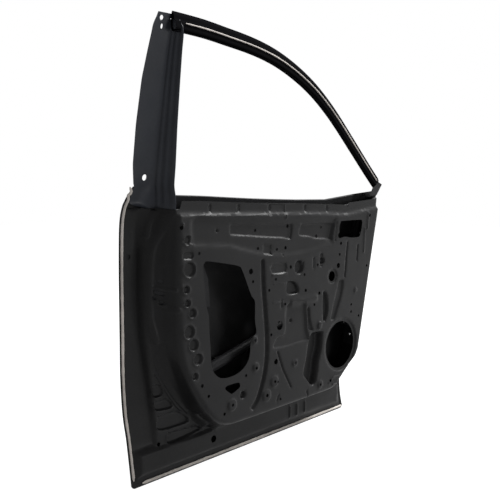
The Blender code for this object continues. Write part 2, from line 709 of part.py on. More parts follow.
def cut_path(path, front_top, rear_top):
    """The path kept below a height at each end, with points set on both heights."""
    low = [p for p in path if p[1] < (front_top if p[0] > door_length / 2 else rear_top)]
    first = path.index(low[0])
    last = path.index(low[-1])
    ends = []
    for inner, outer, top in ((path[first], path[first - 1], front_top),
                              (path[last], path[last + 1], rear_top)):
        t = (top - inner[1]) / (outer[1] - inner[1])
        ends.append((inner[0] + (outer[0] - inner[0]) * t, top))
    return [ends[0]] + low + [ends[1]]


panel_top = spots(panel_top_shares)
panel_side = cut_path(shift_line(door_path, -hem_inset, False), panel_top[-1][1], panel_top[0][1])
panel_edge = panel_side + panel_top[1:-1]


def base_surface():
    """The base form as a surface to drop points on."""
    points = []
    levels = []
    edges = []
    for inset in (hem_inset - base_margin, hem_inset + hem_width):
        line = shift_line(door_path, -inset, False)
        first = len(points)
        points.extend(Vector(p) for p in line)
        levels.extend(float(hem_seat(x, z)) for x, z in line)
        edges.extend((first + k, first + k + 1) for k in range(len(line) - 1))
    for line, level in base_lines():
        first = len(points)
        points.extend(Vector(p) for p in line)
        levels.extend(float(hem_seat(x, z)) - strip_set if level is None else level for x, z in line)
        edges.extend((first + k, first + k + 1) for k in range(len(line) - 1))
    flat, _, faces, origins, _, _ = delaunay_2d_cdt(points, edges, [], 0, 1e-6)
    corners = []
    for place, origin in zip(flat, origins):
        if origin:
            corners.append(Vector((place.x, levels[origin[0]], place.y)))
            continue
        near = sorted(range(len(points)), key=lambda k: (points[k] - place).length)[:2]
        corners.append(Vector((place.x, sum(levels[k] for k in near) / 2, place.y)))
    return BVHTree.FromPolygons(corners, faces)


base_tree = base_surface()


def base_level(x, z):
    """Y of the base form at plan places."""
    found = []
    for place in zip(np.atleast_1d(x), np.atleast_1d(z)):
        hit, _, _, _ = base_tree.ray_cast(Vector((place[0], -door_length, place[1])), Vector((0, 1, 0)))
        if hit is None:
            hit, _, _, _ = base_tree.find_nearest(Vector((place[0], 0, place[1])))
        found.append(hit.y)
    return np.array(found)


# The inner panel's own pressings: outline, depth outboard, width of its wall
pressings = [
    (spots(belt_step_shares), belt_step_depth, belt_step_wall),
    (spots(upper_recess_rear_shares), upper_depth, upper_wall),
    (spots(upper_recess_front_shares), upper_depth, upper_wall),
    (spots(middle_recess_shares), middle_depth, middle_wall),
    (spots(deep_recess_shares), deep_depth, deep_wall),
    (spots(leaf_front_shares), dimple_depth, dimple_wall),
    (spots(leaf_rear_shares), emboss_depth, emboss_wall),
    (spots(diagonal_recess_shares), step_depth, step_wall),
    (spots(dark_panel_shares), dimple_depth, dimple_wall),
    (spots(shelf_recess_shares), pad_depth, pad_wall),
    (spots(shelf_pocket_shares), pocket_depth, emboss_wall),
    (capsule_loop(smooth(spots(bead_line_shares), bead_step), bead_width, 5), bead_depth, bead_wall),
]
for groove in groove_lines_shares:
    pressings.append((capsule_loop(spots(groove), groove_width, 4), groove_depth, groove_wall))
for ridge in ridge_lines_shares:
    pressings.append((capsule_loop(spots(ridge), groove_width, 2), -boss_height, groove_wall))
for x, z, radius in margin_emboss_shares:
    place = spots([(x, z)])[0]
    loop = arc_loop(*place, radius * door_length, radius * door_length, 10)
    pressings.append((loop, emboss_depth, emboss_wall))
for x, z, radius in round_dimple_shares:
    place = spots([(x, z)])[0]
    loop = arc_loop(*place, radius * door_length, radius * door_length, 12)
    pressings.append((loop, dimple_depth, min(dimple_wall, radius * door_length / 2)))
for x, z, radius in boss_shares:
    place = spots([(x, z)])[0]
    loop = arc_loop(*place, radius * door_length, radius * door_length, 10)
    pressings.append((loop, -boss_height, boss_wall))
speaker_place = spots([speaker_place_shares])[0]
speaker_ring = speaker_radius + speaker_seat
pressings.append((arc_loop(*speaker_place, speaker_ring, speaker_ring, 28), groove_depth, groove_wall))
wiring_place = spots([wiring_place_shares])[0]
wiring_ring = wiring_radius + pad_wall + groove_depth
pressings.append((arc_loop(*wiring_place, wiring_ring, wiring_ring, 12), pad_depth, pad_wall))
for pad in corner_pads_shares:
    pressings.append((spots(pad), -pad_depth, pad_wall))
for share in band_bead_places_shares:
    place = share * door_length
    low, high = [height * door_height for height in band_bead_height_shares]
    loop = [(place - band_bead, low), (place + band_bead, low),
            (place + band_bead, high), (place - band_bead, high)]
    pressings.append((loop, -groove_depth, groove_wall))
for share in notch_places_shares:
    place = share * door_length
    ridge_heights = [h for _, h in belt_ridge_shares]
    foot = door_height * float(np.interp(share, [s for s, _ in belt_ridge_shares], ridge_heights))
    foot += belt_bevel + notch_depth
    half = notch_width / 2
    loop = [(place - half, foot), (place + half, foot),
            (place + half, foot + notch_height), (place - half, foot + notch_height)]
    pressings.append((loop, notch_depth, notch_depth))


def panel_level(x, z):
    """Y of the finished inner panel's cabin face at plan places."""
    out = np.zeros(len(x))
    raised = np.zeros(len(x))
    for loop, depth, wall in pressings:
        within, near = inside_loop(x, z, loop)
        push = np.where(within, depth * np.clip(near / wall, 0, 1), 0)
        if depth > 0:
            out = np.maximum(out, push)
        else:
            raised = np.minimum(raised, push)
    return base_level(x, z) + out + raised


def round_holes(places, radius):
    """Eight-sided holes at plan places given as shares."""
    return [arc_loop(x, z, radius, radius, 8) for x, z in spots(places)]


def wall_hole(height, y, half_height, half_depth):
    """A hole in the hinge wall, round or long as seen along the wall."""
    loop = []
    for k in range(8):
        turn = 2 * math.pi * (k + 0.5) / 8
        z = height + half_height * math.sin(turn)
        loop.append((hinge_wall_x(y + half_depth * math.cos(turn), z), z))
    return loop


hinge_bolts = [(h * door_height, trim_plane_y * (1 - d)) for h, d in hinge_bolt_shares]
check_nuts = [(h * door_height, trim_plane_y * (1 - d)) for h, d in check_nut_shares]
check_place = (check_slot_share * door_height, trim_plane_y * (1 - check_nut_shares[0][1]))
speaker_hole = arc_loop(*speaker_place, speaker_radius, speaker_radius, 28)
panel_holes = [
    spots(access_hole_shares), spots(hex_hole_shares), spots(mirror_hole_shares), speaker_hole,
    spots(striker_slot_shares),
]
panel_holes += round_holes(clip_places_shares, clip_radius)
panel_holes += round_holes(screw_places_shares, screw_radius)
panel_holes += round_holes(plug_places_shares, plug_radius)
panel_holes += round_holes(latch_places_shares, screw_radius)
panel_holes += round_holes([drain_place_shares], drain_radius)
panel_holes += round_holes([triangle_hole_shares], screw_radius)
panel_holes += round_holes([locator_place_shares], locator_radius)
panel_holes += round_holes([wiring_place_shares], wiring_radius)
panel_holes += round_holes([strip_hole_shares], strip_hole_radius)
panel_holes += [wall_hole(z, y, hinge_bolt_radius, hinge_bolt_radius) for z, y in hinge_bolts + check_nuts]
panel_holes.append(wall_hole(*check_place, check_slot_height / 2, check_slot_depth / 2))


def is_inside(point, loop):
    """Whether one plan place lies in a loop."""
    return bool(inside_loop([point[0]], [point[1]], loop)[0][0])


def edge_crossing(inner, outer, loop):
    """Where the run from a place inside a loop to one outside leaves it."""
    for _ in range(30):
        middle = ((inner[0] + outer[0]) / 2, (inner[1] + outer[1]) / 2)
        if is_inside(middle, loop):
            inner = middle
        else:
            outer = middle
    return inner


def base_constraints():
    """Base lines cut off at the panel's edge, as creases for the triangles to follow."""
    creases = []
    for line, _ in base_lines():
        run = []
        for before, point in zip([None] + line, line):
            was_in = before is not None and is_inside(before, panel_edge)
            now_in = is_inside(point, panel_edge)
            if now_in and not was_in and before is not None:
                run = [edge_crossing(point, before, panel_edge)]
            if now_in:
                run.append(point)
                continue
            if was_in:
                creases.append((run + [edge_crossing(before, point, panel_edge)], False))
            run = []
        if len(run) > 1:
            creases.append((run, False))
    creases.append((shift_line(panel_side, -hem_width, False), False))
    return creases


panel_lines = base_constraints()
for loop, depth, wall in pressings:
    panel_lines.append((loop, True))
    panel_lines.append((inset_loop(loop, wall), True))
inner_panel = plan_sheet("inner_panel", panel_edge, panel_holes, panel_lines, panel_level,
                         panel_gauge, primer)


# Outer skin: crowned sheet whose rear, bottom and front edges are folded round the inner panel
fold_radius = skin_gauge + seat_gap + panel_gauge / 2
belt_edge = smooth(spots(belt_edge_shares), belt_step)
skin_side = shift_line(door_path, -fold_radius, False)
skin_top = [skin_side[-1]] + belt_edge[1:-1] + [skin_side[0]]
handle_x, handle_z = spots([handle_place_shares])[0]
handle_spread = handle_spread_share * door_length
cup_line = [(handle_x - handle_cup_length / 4, handle_z), (handle_x + handle_cup_length / 4, handle_z)]
cup_loop = capsule_loop(cup_line, handle_cup_height, 7)
cup_floor = capsule_loop(cup_line, handle_cup_height - 2 * cup_wall, 5)


def skin_level(x, z):
    """Y of the outer skin with the handle cup pressed in."""
    within, near = inside_loop(x, z, cup_loop)
    return body_side(x, z) - np.where(within, cup_depth * np.clip(near / cup_wall, 0, 1), 0)


def folded_skin():
    """The skin's outer face: triangles between plan lines, then the fold and its return."""
    grid = []
    for row in range(1, 20):
        z = row * door_height / 20
        for column in range(1, 17):
            x = column * door_length / 17
            within, near = inside_loop([x], [z], skin_side + skin_top[1:-1])
            in_cup, cup_near = inside_loop([x], [z], cup_loop)
            if within[0] and near[0] > edge_corner and not in_cup[0] and cup_near[0] > edge_corner:
                grid.append(Vector((x, z)))
    holes = [
        arc_loop(handle_x - handle_spread, handle_z, handle_rear_slot / 2, handle_front_slot / 2, 10),
        arc_loop(handle_x + handle_spread, handle_z, handle_front_slot / 2, handle_front_slot / 2, 10),
    ]
    outline = skin_side + skin_top[1:-1]
    points = []
    edges = []
    for loop in [outline, cup_loop, cup_floor] + holes:
        first = len(points)
        points.extend(Vector(p) for p in loop)
        edges.extend((first + k, first + (k + 1) % len(loop)) for k in range(len(loop)))
    hem_line = shift_line(skin_side, -hem_width, False)[1:-1]
    first = len(points)
    points.extend(Vector(p) for p in hem_line)
    edges.extend((first + k, first + k + 1) for k in range(len(hem_line) - 1))
    points.extend(grid)
    flat, _, triangles, origins, _, _ = delaunay_2d_cdt(points, edges, [], 0, 1e-7)
    plan = np.array([(p.x, p.y) for p in flat])
    corners = np.array(triangles)
    middle = plan[corners].mean(axis=1)
    keep, _ = inside_loop(middle[:, 0], middle[:, 1], outline)
    for hole in holes:
        keep &= ~inside_loop(middle[:, 0], middle[:, 1], hole)[0]
    levels = skin_level(plan[:, 0], plan[:, 1])
    vertices = [(x, y, z) for (x, z), y in zip(plan, levels)]
    faces = [tuple(c)[::-1] for c in corners[keep].tolist()]
    rim = {origin[0]: new for new, origin in enumerate(origins) if origin}
    fold_top = fold_top_share * door_height
    folded = [k for k, p in enumerate(skin_side) if p[0] > door_length / 2 or p[1] < fold_top]
    rows = [[rim[k] for k in folded]]
    outward = shift_line(skin_side, fold_radius, False)
    for turn in (45, 0, -45, -90):
        reach = math.cos(math.radians(turn))
        drop = fold_radius * (1 - math.sin(math.radians(turn)))
        row = []
        for (x, z), (far_x, far_z) in [(skin_side[k], outward[k]) for k in folded]:
            row.append(len(vertices))
            vertices.append((x + (far_x - x) * reach, float(body_side(x, z)) - drop, z + (far_z - z) * reach))
        rows.append(row)
    row = []
    inward = shift_line(skin_side, -(hem_width - fold_radius), False)
    for x, z in [inward[k] for k in folded]:
        row.append(len(vertices))
        vertices.append((x, float(body_side(x, z)) - 2 * fold_radius, z))
    rows.append(row)
    for near, far in zip(rows, rows[1:]):
        for k in range(len(near) - 1):
            faces.append((near[k + 1], near[k], far[k], far[k + 1]))
    used = sorted({c for face in faces for c in face})
    renumber = {old: new for new, old in enumerate(used)}
    faces = [tuple(renumber[c] for c in face) for face in faces]
    return add_object("outer_skin", [vertices[c] for c in used], faces, primer, skin_gauge, -1)


outer_skin = folded_skin()


# Window frame, rear upright: rolled section that also reaches down behind the inner panel
def jamb_profile(z):
    """The jamb's cabin-side line at a height, from its seal floor to its deep corner."""
    line = []
    for shares in (seal_outer_shares, seal_inner_shares, crease_shares, round_line_shares):
        places = sorted((b * door_height, a * door_length) for a, b in shares)
        line.append(float(np.interp(z, [p[0] for p in places], [p[1] for p in places])))
    line.append(line[-1] + 2 * sash_lip)
    return list(zip(line, [seal_floor_y, seal_land_y, crease_y, corner_round_y, belt_flange_y]))


def split_line(line, counts):
    """A line whose runs are each cut into a number of equal steps."""
    points = []
    for a, b, count in zip(line, line[1:], counts):
        points += [(a[0] + (b[0] - a[0]) * k / count, a[1] + (b[1] - a[1]) * k / count) for k in range(count)]
    return points + [line[-1]]


sash_heights = [share * door_height for share in sash_low_shares]
sash_heights += [frame_level(share) for share in sash_rise_shares]


def sash_rows():
    """Rows of the inner upright, bottom to top: flange edge, flange, stepped wall, return."""
    rows = []
    tail_rows = len(sash_heights) - len(sash_root_shares)
    for k, z in enumerate(sash_heights):
        if k < tail_rows:
            behind = shift_line(jamb_profile(z), sash_set, False)
            rows.append([(x, y, z) for x, y in split_line(behind, (3, 2, 3, 3))])
            continue
        edge = sash_edge_shares[k] * door_length
        root = sash_root_shares[k - tail_rows] * door_length
        window = sash_window_shares[k - tail_rows] * door_length
        root_y = float(hem_seat(root, z)) - sash_root_depths[k - tail_rows]
        depth = sash_box_depths[k - tail_rows]
        middle = edge + (root - edge) * sash_middle_share
        inboard = strip_set if z < door_height else 0
        row = [(x, float(hem_seat(x, z)) - inboard, z) for x in (edge, middle)]
        for across, down in sash_profile_shares:
            row.append((root + (window - root) * across, root_y - depth * down, z))
        for turn, down in enumerate(sash_return_shares):
            row.append((window + (turn + 1) * sash_lip, root_y - depth * down, z))
        rows.append(row)
    return rows


def upright_inner():
    """The inner upright with its flange carried on up as the top tab."""
    rows = sash_rows()
    count = len(rows[0])
    vertices = [point for row in rows for point in row]
    faces = []
    for r in range(len(rows) - 1):
        for c in range(count - 1):
            a = r * count + c
            faces.append((a, a + 1, a + 1 + count, a + count))
    low = [(len(rows) - 1) * count + c for c in range(3)]
    for height, edge, inner in sash_tab_shares:
        z = frame_level(height)
        row = []
        for k in range(3):
            x = door_length * (edge + (inner - edge) * (k if k < 2 else 2) / 2)
            row.append(len(vertices))
            vertices.append((x, float(hem_seat(x, z)), z))
        for c in range(2):
            faces.append((low[c], low[c + 1], row[c + 1], row[c]))
        low = row
    return add_object("rear_sash_inner", vertices, faces, frame_black, frame_gauge, -1)


def cut_hole(item, x, y, z, radius, reach, stretch=1.0):
    """Cuts a round or long hole through a sheet along Y."""
    ring = arc_loop(x, z, radius, radius * stretch, 12)
    rows = [[(a, y - reach, b) for a, b in ring], [(a, y + reach, b) for a, b in ring]]
    cutter = grid_sheet(item.name + "_cutter", rows, item.data.materials[0], ring=True, caps=True)
    turn_outward(cutter)
    cutter.hide_render = True
    cutter.display_type = "WIRE"
    cut = item.modifiers.new("hole", "BOOLEAN")
    cut.operation = "DIFFERENCE"
    cut.solver = "EXACT"
    cut.object = cutter


rear_sash_inner = upright_inner()
for share, radius, stretch in ((sash_hole_share, strip_hole_radius, sash_hole_stretch_share),
                               (tab_hole_share, screw_radius, 1),
                               (tab_slot_share, clip_radius, tab_slot_stretch_share)):
    x = share[0] * door_length
    z = frame_level(share[1])
    cut_hole(rear_sash_inner, x, float(hem_seat(x, z)), z, radius, edge_corner, stretch)


def upright_outer():
    """The outboard half of the upright: flat face, lip to the glass side."""
    low = len(sash_heights) - len(sash_window_shares)
    rows = []
    for z in [door_height + seat_gap] + [h for h in sash_heights if h > door_height]:
        edge = door_length * float(np.interp(z, sash_heights, sash_edge_shares)) + panel_gauge
        window = door_length * float(np.interp(z, sash_heights[low:], sash_window_shares)) + 3 * sash_lip
        places = [edge, (edge + window) / 2, window, window + sash_lip / 4]
        row = [(x, float(body_side(x, z)), z) for x in places]
        row[-1] = (row[-1][0], row[-1][1] - sash_return, z)
        rows.append(row[::-1])
    return grid_sheet("rear_sash_outer", rows, frame_black, skin_gauge, -1)


rear_sash_outer = upright_outer()


# Window frame, header: follows the roof rail and runs down the pillar to the belt
header_line = smooth([(x * door_length, frame_level(z)) for x, z in header_edge_shares], rail_step)


def header_section(name, profile, gauge, side):
    """A rolled section swept along the header; profile points are (inward, outboard of body side)."""
    lines = [shift_line(header_line, -reach, False) for reach, _ in profile]
    rows = []
    for k, place in enumerate(header_line):
        edge_y = float(body_side(*place))
        rows.append([(line[k][0], edge_y + push, line[k][1]) for (_, push), line in zip(profile, lines)])
    return grid_sheet(name, rows, frame_black, gauge, side)


under = -(skin_gauge + seat_gap + frame_gauge)
groove_foot, groove_top, lip_top, lip_foot = [under - header_rise * share for share in header_groove_shares]
inner_profile = [
    (0, under), (header_lip, under - header_step * header_wall_shares[0]),
    (2 * header_lip, under - header_step), (header_band, under - header_step * header_wall_shares[1]),
    (header_band + header_groove / 3, groove_foot),
    (header_band + header_groove, groove_top), (header_depth, under - header_rise),
    (header_depth + header_lip, lip_top), (header_depth + header_lip, lip_foot),
]
outer_profile = [
    (header_lip / 2, 0), (header_depth / 2, header_lip / 4), (header_depth + 2 * header_lip, header_lip / 4),
    (header_depth + 2 * header_lip, -header_rise),
]
header_inner = header_section("header_inner", inner_profile, frame_gauge, -1)
header_outer = header_section("header_outer", outer_profile, skin_gauge, 1)


def strand(name, path, radius, material, sides=6):
    """A bead of round section along 3-D points, closed at its ends."""
    rows = []
    for k, point in enumerate(path):
        here = Vector(point)
        ahead = Vector(path[min(k + 1, len(path) - 1)]) - Vector(path[max(k - 1, 0)])
        across = ahead.cross(Vector((0, 1, 0))).normalized()
        up = across.cross(ahead).normalized()
        size = radius * (0.5 if k in (0, len(path) - 1) else 1)
        turns = [2 * math.pi * n / sides for n in range(sides)]
        rows.append([here + (across * math.cos(t) + up * math.sin(t)) * size for t in turns])
    item = grid_sheet(name, rows, material, ring=True, caps=True)
    turn_outward(item)
    return item


# Seam sealer: brushed over the hem's inner edge, and a band along the header's joint
def hem_bead(name, path, radius):
    """A bead lying in the corner between the hem's return and the panel."""
    inner = shift_line(path, -(hem_width - fold_radius + radius + seat_gap), False)
    points = []
    for x, z in inner:
        points.append((x, float(base_level(x, z)[0]) - radius - 2 * seat_gap, z))
    return strand(name, points, radius, sealer)


bottom_start = next(k for k, p in enumerate(skin_side) if p[1] < edge_corner)
bottom_end = max(k for k, p in enumerate(skin_side) if p[1] < edge_corner)
rear_stretch = [p for p in skin_side[bottom_end + 1:] if 3 * edge_corner < p[1] < panel_top[0][1]]
rear_hem_sealer = hem_bead("rear_hem_sealer", rear_stretch, bead_radius)
sill_hem_sealer = hem_bead("sill_hem_sealer", skin_side[bottom_start + 2:bottom_end - 1], bead_radius)

bead_path = []
header_groove_line = shift_line(header_line, -(header_band + header_groove * header_groove_shares[0]), False)
for k in range(1, len(header_line) - 1):
    x, z = header_groove_line[k]
    level = float(body_side(*header_line[k])) + under - header_rise * header_bead_share
    level -= bead_radius + seat_gap
    bead_path.append((x, level, z))
header_sealer = strand("header_sealer", bead_path, bead_radius, sealer)


# Stiffeners spot-welded behind the belt line
def belt_strip(name, line, low, high, level):
    """A channel under the belt edge: face, with a lip turned outboard at top and bottom."""
    rows = []
    for x, z in line:
        row = []
        for height, turned in ((z - low, belt_lip), (z - low + belt_lip / 4, 0),
                               (z + high - belt_lip / 4, 0), (z + high, belt_lip)):
            row.append((x, level(x, height) + turned, height))
        rows.append(row)
    return grid_sheet(name, rows, primer, belt_gauge, -1)


ridge_line = [p for p in smooth(spots(belt_ridge_shares), ridge_step)
              if inner_belt_shares[0] < p[0] / door_length < inner_belt_shares[1]]
inner_belt_reinforcement = belt_strip(
    "inner_belt_reinforcement", ridge_line, -2 * belt_bevel, inner_belt_height,
    lambda x, z: belt_flange_y + notch_depth + panel_gauge + belt_gauge + 2 * seat_gap)
outer_belt_line = [p for p in belt_edge if outer_belt_shares[0] < p[0] / door_length < outer_belt_shares[1]]
outer_belt_reinforcement = belt_strip(
    "outer_belt_reinforcement", outer_belt_line, 4 * belt_bevel, -belt_bevel / 10,
    lambda x, z: float(body_side(x, z)) - belt_lip - skin_gauge - 3 * seat_gap)


# Plates behind the hinge wall, the latch face, the handle cup and the front corner
def wall_plate(name, low, high, near, far, holes):
    """A flat plate on the hollow side of the hinge wall, from near to far in depth."""
    rows = []
    back = plate_gauge + panel_gauge + 2 * seat_gap
    for k in range(5):
        z = low + (high - low) * k / 4
        rows.append([(hinge_wall_x(y, z) - back + plate_gauge, y, z) for y in np.linspace(near, far, 3)])
    item = grid_sheet(name, rows, primer, plate_gauge, -1)
    for z, y in holes:
        ring = [(y + hinge_bolt_radius * math.cos(t), z + hinge_bolt_radius * math.sin(t))
                for t in [2 * math.pi * n / 10 for n in range(10)]]
        x = hinge_wall_x(y, z)
        bars = [[(x - edge_corner, a, b) for a, b in ring], [(x + edge_corner, a, b) for a, b in ring]]
        cutter = grid_sheet(name + "_cutter", bars, primer, ring=True, caps=True)
        turn_outward(cutter)
        cutter.hide_render = True
        cutter.display_type = "WIRE"
        cut = item.modifiers.new("hole", "BOOLEAN")
        cut.operation = "DIFFERENCE"
        cut.solver = "EXACT"
        cut.object = cutter
    return item


lower_hinge_reinforcement = wall_plate(
    "lower_hinge_reinforcement", hinge_bolts[1][0] - plate_reach, hinge_bolts[0][0] + plate_reach,
    trim_plane_y + 2 * wall_seat, seal_floor_y, hinge_bolts[:2])
upper_hinge_reinforcement = wall_plate(
    "upper_hinge_reinforcement", hinge_bolts[3][0] - plate_reach, hinge_bolts[2][0] + plate_reach,
    trim_plane_y + 2 * wall_seat, -2 * wall_seat, hinge_bolts[2:])
check_reinforcement = wall_plate(
    "check_reinforcement", check_nuts[0][0] - plate_reach / 2, check_nuts[1][0] + plate_reach / 2,
    trim_plane_y + 2 * wall_seat, -2 * wall_seat, check_nuts + [check_place])


def jamb_plate():
    """The latch plate, formed to the hollow side of the jamb."""
    rows = []
    low, high = [share * door_height for share in latch_plate_shares]
    for k in range(6):
        z = low + (high - low) * k / 5
        behind = shift_line(jamb_profile(z)[:4], panel_gauge + 3 * seat_gap, False)
        rows.append([(x, y, z) for x, y in split_line(behind, (2, 2, 3))][1:])
    item = grid_sheet("latch_reinforcement", rows, primer, plate_gauge, -1)
    return item


latch_reinforcement = jamb_plate()

handle_holes = [
    arc_loop(handle_x - handle_spread, handle_z, handle_rear_slot / 2, handle_front_slot / 2, 10),
    arc_loop(handle_x + handle_spread, handle_z, handle_front_slot / 2, handle_front_slot / 2, 10),
]
handle_reinforcement = plan_sheet(
    "handle_reinforcement", spots(handle_plate_shares), handle_holes, [],
    lambda x, z: body_side(x, z) - cup_depth - skin_gauge - 5 * seat_gap, plate_gauge, primer)
corner_bracket = plan_sheet(
    "corner_bracket", spots(corner_bracket_shares), [], [],
    lambda x, z: body_side(x, z) - corner_set, belt_gauge, primer)


# Side impact beam: a straight tube under the skin, on brackets, with mastic pads
def beam_point(share):
    """The beam's axis at a share of its length."""
    (rear_x, rear_z), (front_x, front_z) = spots([beam_rear_shares, beam_front_shares])
    inset = skin_gauge + beam_skin_gap + beam_radius
    rear = Vector((rear_x, float(body_side(rear_x, rear_z)) - inset, rear_z))
    front = Vector((front_x, float(body_side(front_x, front_z)) - inset, front_z))
    return rear.lerp(front, share)


def tube(name, start, end, radius, bore, sides, material):
    """A straight tube between two points."""
    along = (end - start).normalized()
    across = along.cross(Vector((0, 1, 0))).normalized()
    up = across.cross(along).normalized()
    rows = []
    for center, size in ((start, radius), (end, radius), (end, bore), (start, bore)):
        turns = [2 * math.pi * n / sides for n in range(sides)]
        rows.append([center + (across * math.cos(t) + up * math.sin(t)) * size for t in turns])
    rows.append(rows[0])
    vertices = [p for row in rows[:4] for p in row]
    faces = []
    for r in range(4):
        for c in range(sides):
            n = (c + 1) % sides
            far = ((r + 1) % 4) * sides
            faces.append((r * sides + c, r * sides + n, far + n, far + c))
    item = add_object(name, vertices, faces, material)
    turn_outward(item)
    return item


beam_bore = beam_radius - beam_gauge
impact_beam = tube("impact_beam", beam_point(0), beam_point(1), beam_radius, beam_bore, 16, primer)


def beam_bracket(name, share, toward):
    """A formed plate under a beam end, carried to the door's edge and turned along it."""
    end = beam_point(share)
    inner = beam_point(share - toward * bracket_inset_share)
    bracket_height = bracket_height_share * door_height
    under_beam = beam_radius + seat_gap
    rows = []
    for k in range(5):
        offset = bracket_height * (k / 4 - 0.5)
        low = Vector((inner.x, inner.y - under_beam, inner.z + offset))
        tip = Vector((end.x, end.y - under_beam, end.z + offset))
        if toward > 0:
            near = hinge_wall_x(tip.y, tip.z) - wall_seat
            deep = tip.y - bracket_height * bracket_turn_shares[0]
            far = hinge_wall_x(deep, tip.z) - wall_seat
            row = [low, tip, (near, tip.y, tip.z), (far, deep, tip.z)]
        else:
            places = sorted((b * door_height, a * door_length) for a, b in seal_inner_shares)
            land = float(np.interp(tip.z, [p[0] for p in places], [p[1] for p in places]))
            level = seal_floor_y + wall_seat
            turned = land - bracket_height * bracket_turn_shares[1]
            row = [low, tip, (land, level, tip.z), (turned, level, tip.z)]
        rows.append([tuple(p) for p in (row if toward > 0 else row[::-1])])
    return grid_sheet(name, rows, primer, plate_gauge, 1)


beam_front_bracket = beam_bracket("beam_front_bracket", 1.0, 1)
beam_rear_bracket = beam_bracket("beam_rear_bracket", 0.0, -1)

for number, share in enumerate(beam_pad_shares):
    center = beam_point(share)
    room = float(body_side(center.x, center.z)) - skin_gauge - beam_radius - center.y - 3 * seat_gap
    half_x = pad_length / 2
    half_z = pad_height / 2
    square = [(center.x - half_x, center.z - half_z), (center.x + half_x, center.z - half_z),
              (center.x + half_x, center.z + half_z), (center.x - half_x, center.z + half_z)]
    pad = plan_sheet(f"beam_pad_{number + 1}", square, [], [],
                     lambda x, z: body_side(x, z) - skin_gauge - 2 * seat_gap, room, mastic, 1)


# Glass channels: rolled runs inside the shell
def glass_channel(name, top, bottom, level):
    """A U-shaped run, open toward the glass."""
    rows = []
    for k in range(7):
        t = k / 6
        x = top[0] + (bottom[0] - top[0]) * t
        z = top[1] + (bottom[1] - top[1]) * t
        y = level + channel_bow * t * (1 - t)
        half = channel_width / 2
        deep = channel_deep if top[0] < door_length / 2 else -channel_deep
        row = [(x + deep, y - half, z), (x, y - half, z), (x, y + half, z), (x + deep, y + half, z)]
        rows.append(row if deep > 0 else row[::-1])
    return grid_sheet(name, rows, primer, frame_gauge, 1)


rear_glass_channel = glass_channel("rear_glass_channel", *spots(rear_channel_shares), channel_y)
front_glass_channel = glass_channel("front_glass_channel", *spots(front_channel_shares), channel_y)


# Weld nuts behind the hinge and check-link holes
def wall_nut(name, z, y, radius, height):
    """A round weld nut on the hollow side of a plate on the hinge wall."""
    x = hinge_wall_x(y, z) - panel_gauge - plate_gauge - 5 * seat_gap
    rake = (hinge_wall_x(y, z) - hinge_wall_x(y, 0)) / z
    along = Vector((-1, hinge_draft_share, rake)).normalized()
    start = Vector((x, y, z))
    return tube(name, start, start + along * height, radius, radius * nut_bore_share, 12, nut_steel)


for number, (z, y) in enumerate(hinge_bolts):
    wall_nut(f"hinge_nut_{number + 1}", z, y, nut_radius, nut_height)
for number, (z, y) in enumerate(check_nuts):
    wall_nut(f"check_nut_{number + 1}", z, y, nut_radius * check_nut_share, nut_height * check_nut_share)


# Everything hangs on one empty, so the door stands on its own origin
door_origin = bpy.data.objects.new("door_origin", None)
bpy.context.collection.objects.link(door_origin)
door_origin.location = (-origin_share * door_length, -origin_depth, 0)
for item in list(bpy.data.objects):
    if item.type == "MESH":
        item.parent = door_origin
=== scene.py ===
# Front left car door shell: bare pressed sheet steel under dark dip primer.
# X runs forward to the hinges, Y outboard, Z up; lengths are in metres unless a comment says otherwise.

import json
import math

import bmesh
import bpy
import numpy as np
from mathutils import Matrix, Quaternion, Vector, noise
from mathutils.bvhtree import BVHTree
from mathutils.geometry import delaunay_2d_cdt

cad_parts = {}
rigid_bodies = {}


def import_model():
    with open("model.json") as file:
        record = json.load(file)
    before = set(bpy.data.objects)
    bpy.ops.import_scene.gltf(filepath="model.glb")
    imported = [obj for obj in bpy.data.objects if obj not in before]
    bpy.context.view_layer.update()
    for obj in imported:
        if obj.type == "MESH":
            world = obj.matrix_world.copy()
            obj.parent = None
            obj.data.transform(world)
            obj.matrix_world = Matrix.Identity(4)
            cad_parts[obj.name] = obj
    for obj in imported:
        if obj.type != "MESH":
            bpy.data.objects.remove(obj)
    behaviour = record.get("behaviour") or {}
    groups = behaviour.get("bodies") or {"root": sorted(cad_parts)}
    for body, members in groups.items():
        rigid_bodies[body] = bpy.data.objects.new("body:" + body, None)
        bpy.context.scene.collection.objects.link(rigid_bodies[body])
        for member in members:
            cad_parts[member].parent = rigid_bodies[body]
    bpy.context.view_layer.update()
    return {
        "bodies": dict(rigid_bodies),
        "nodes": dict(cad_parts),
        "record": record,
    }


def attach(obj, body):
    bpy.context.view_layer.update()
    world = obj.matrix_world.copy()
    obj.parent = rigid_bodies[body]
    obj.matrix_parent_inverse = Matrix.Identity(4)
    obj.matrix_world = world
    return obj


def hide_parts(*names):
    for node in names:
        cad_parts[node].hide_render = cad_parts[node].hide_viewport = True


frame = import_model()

for stray in list(bpy.data.objects):
    if stray not in frame["nodes"].values() and stray not in frame["bodies"].values():
        bpy.data.objects.remove(stray)


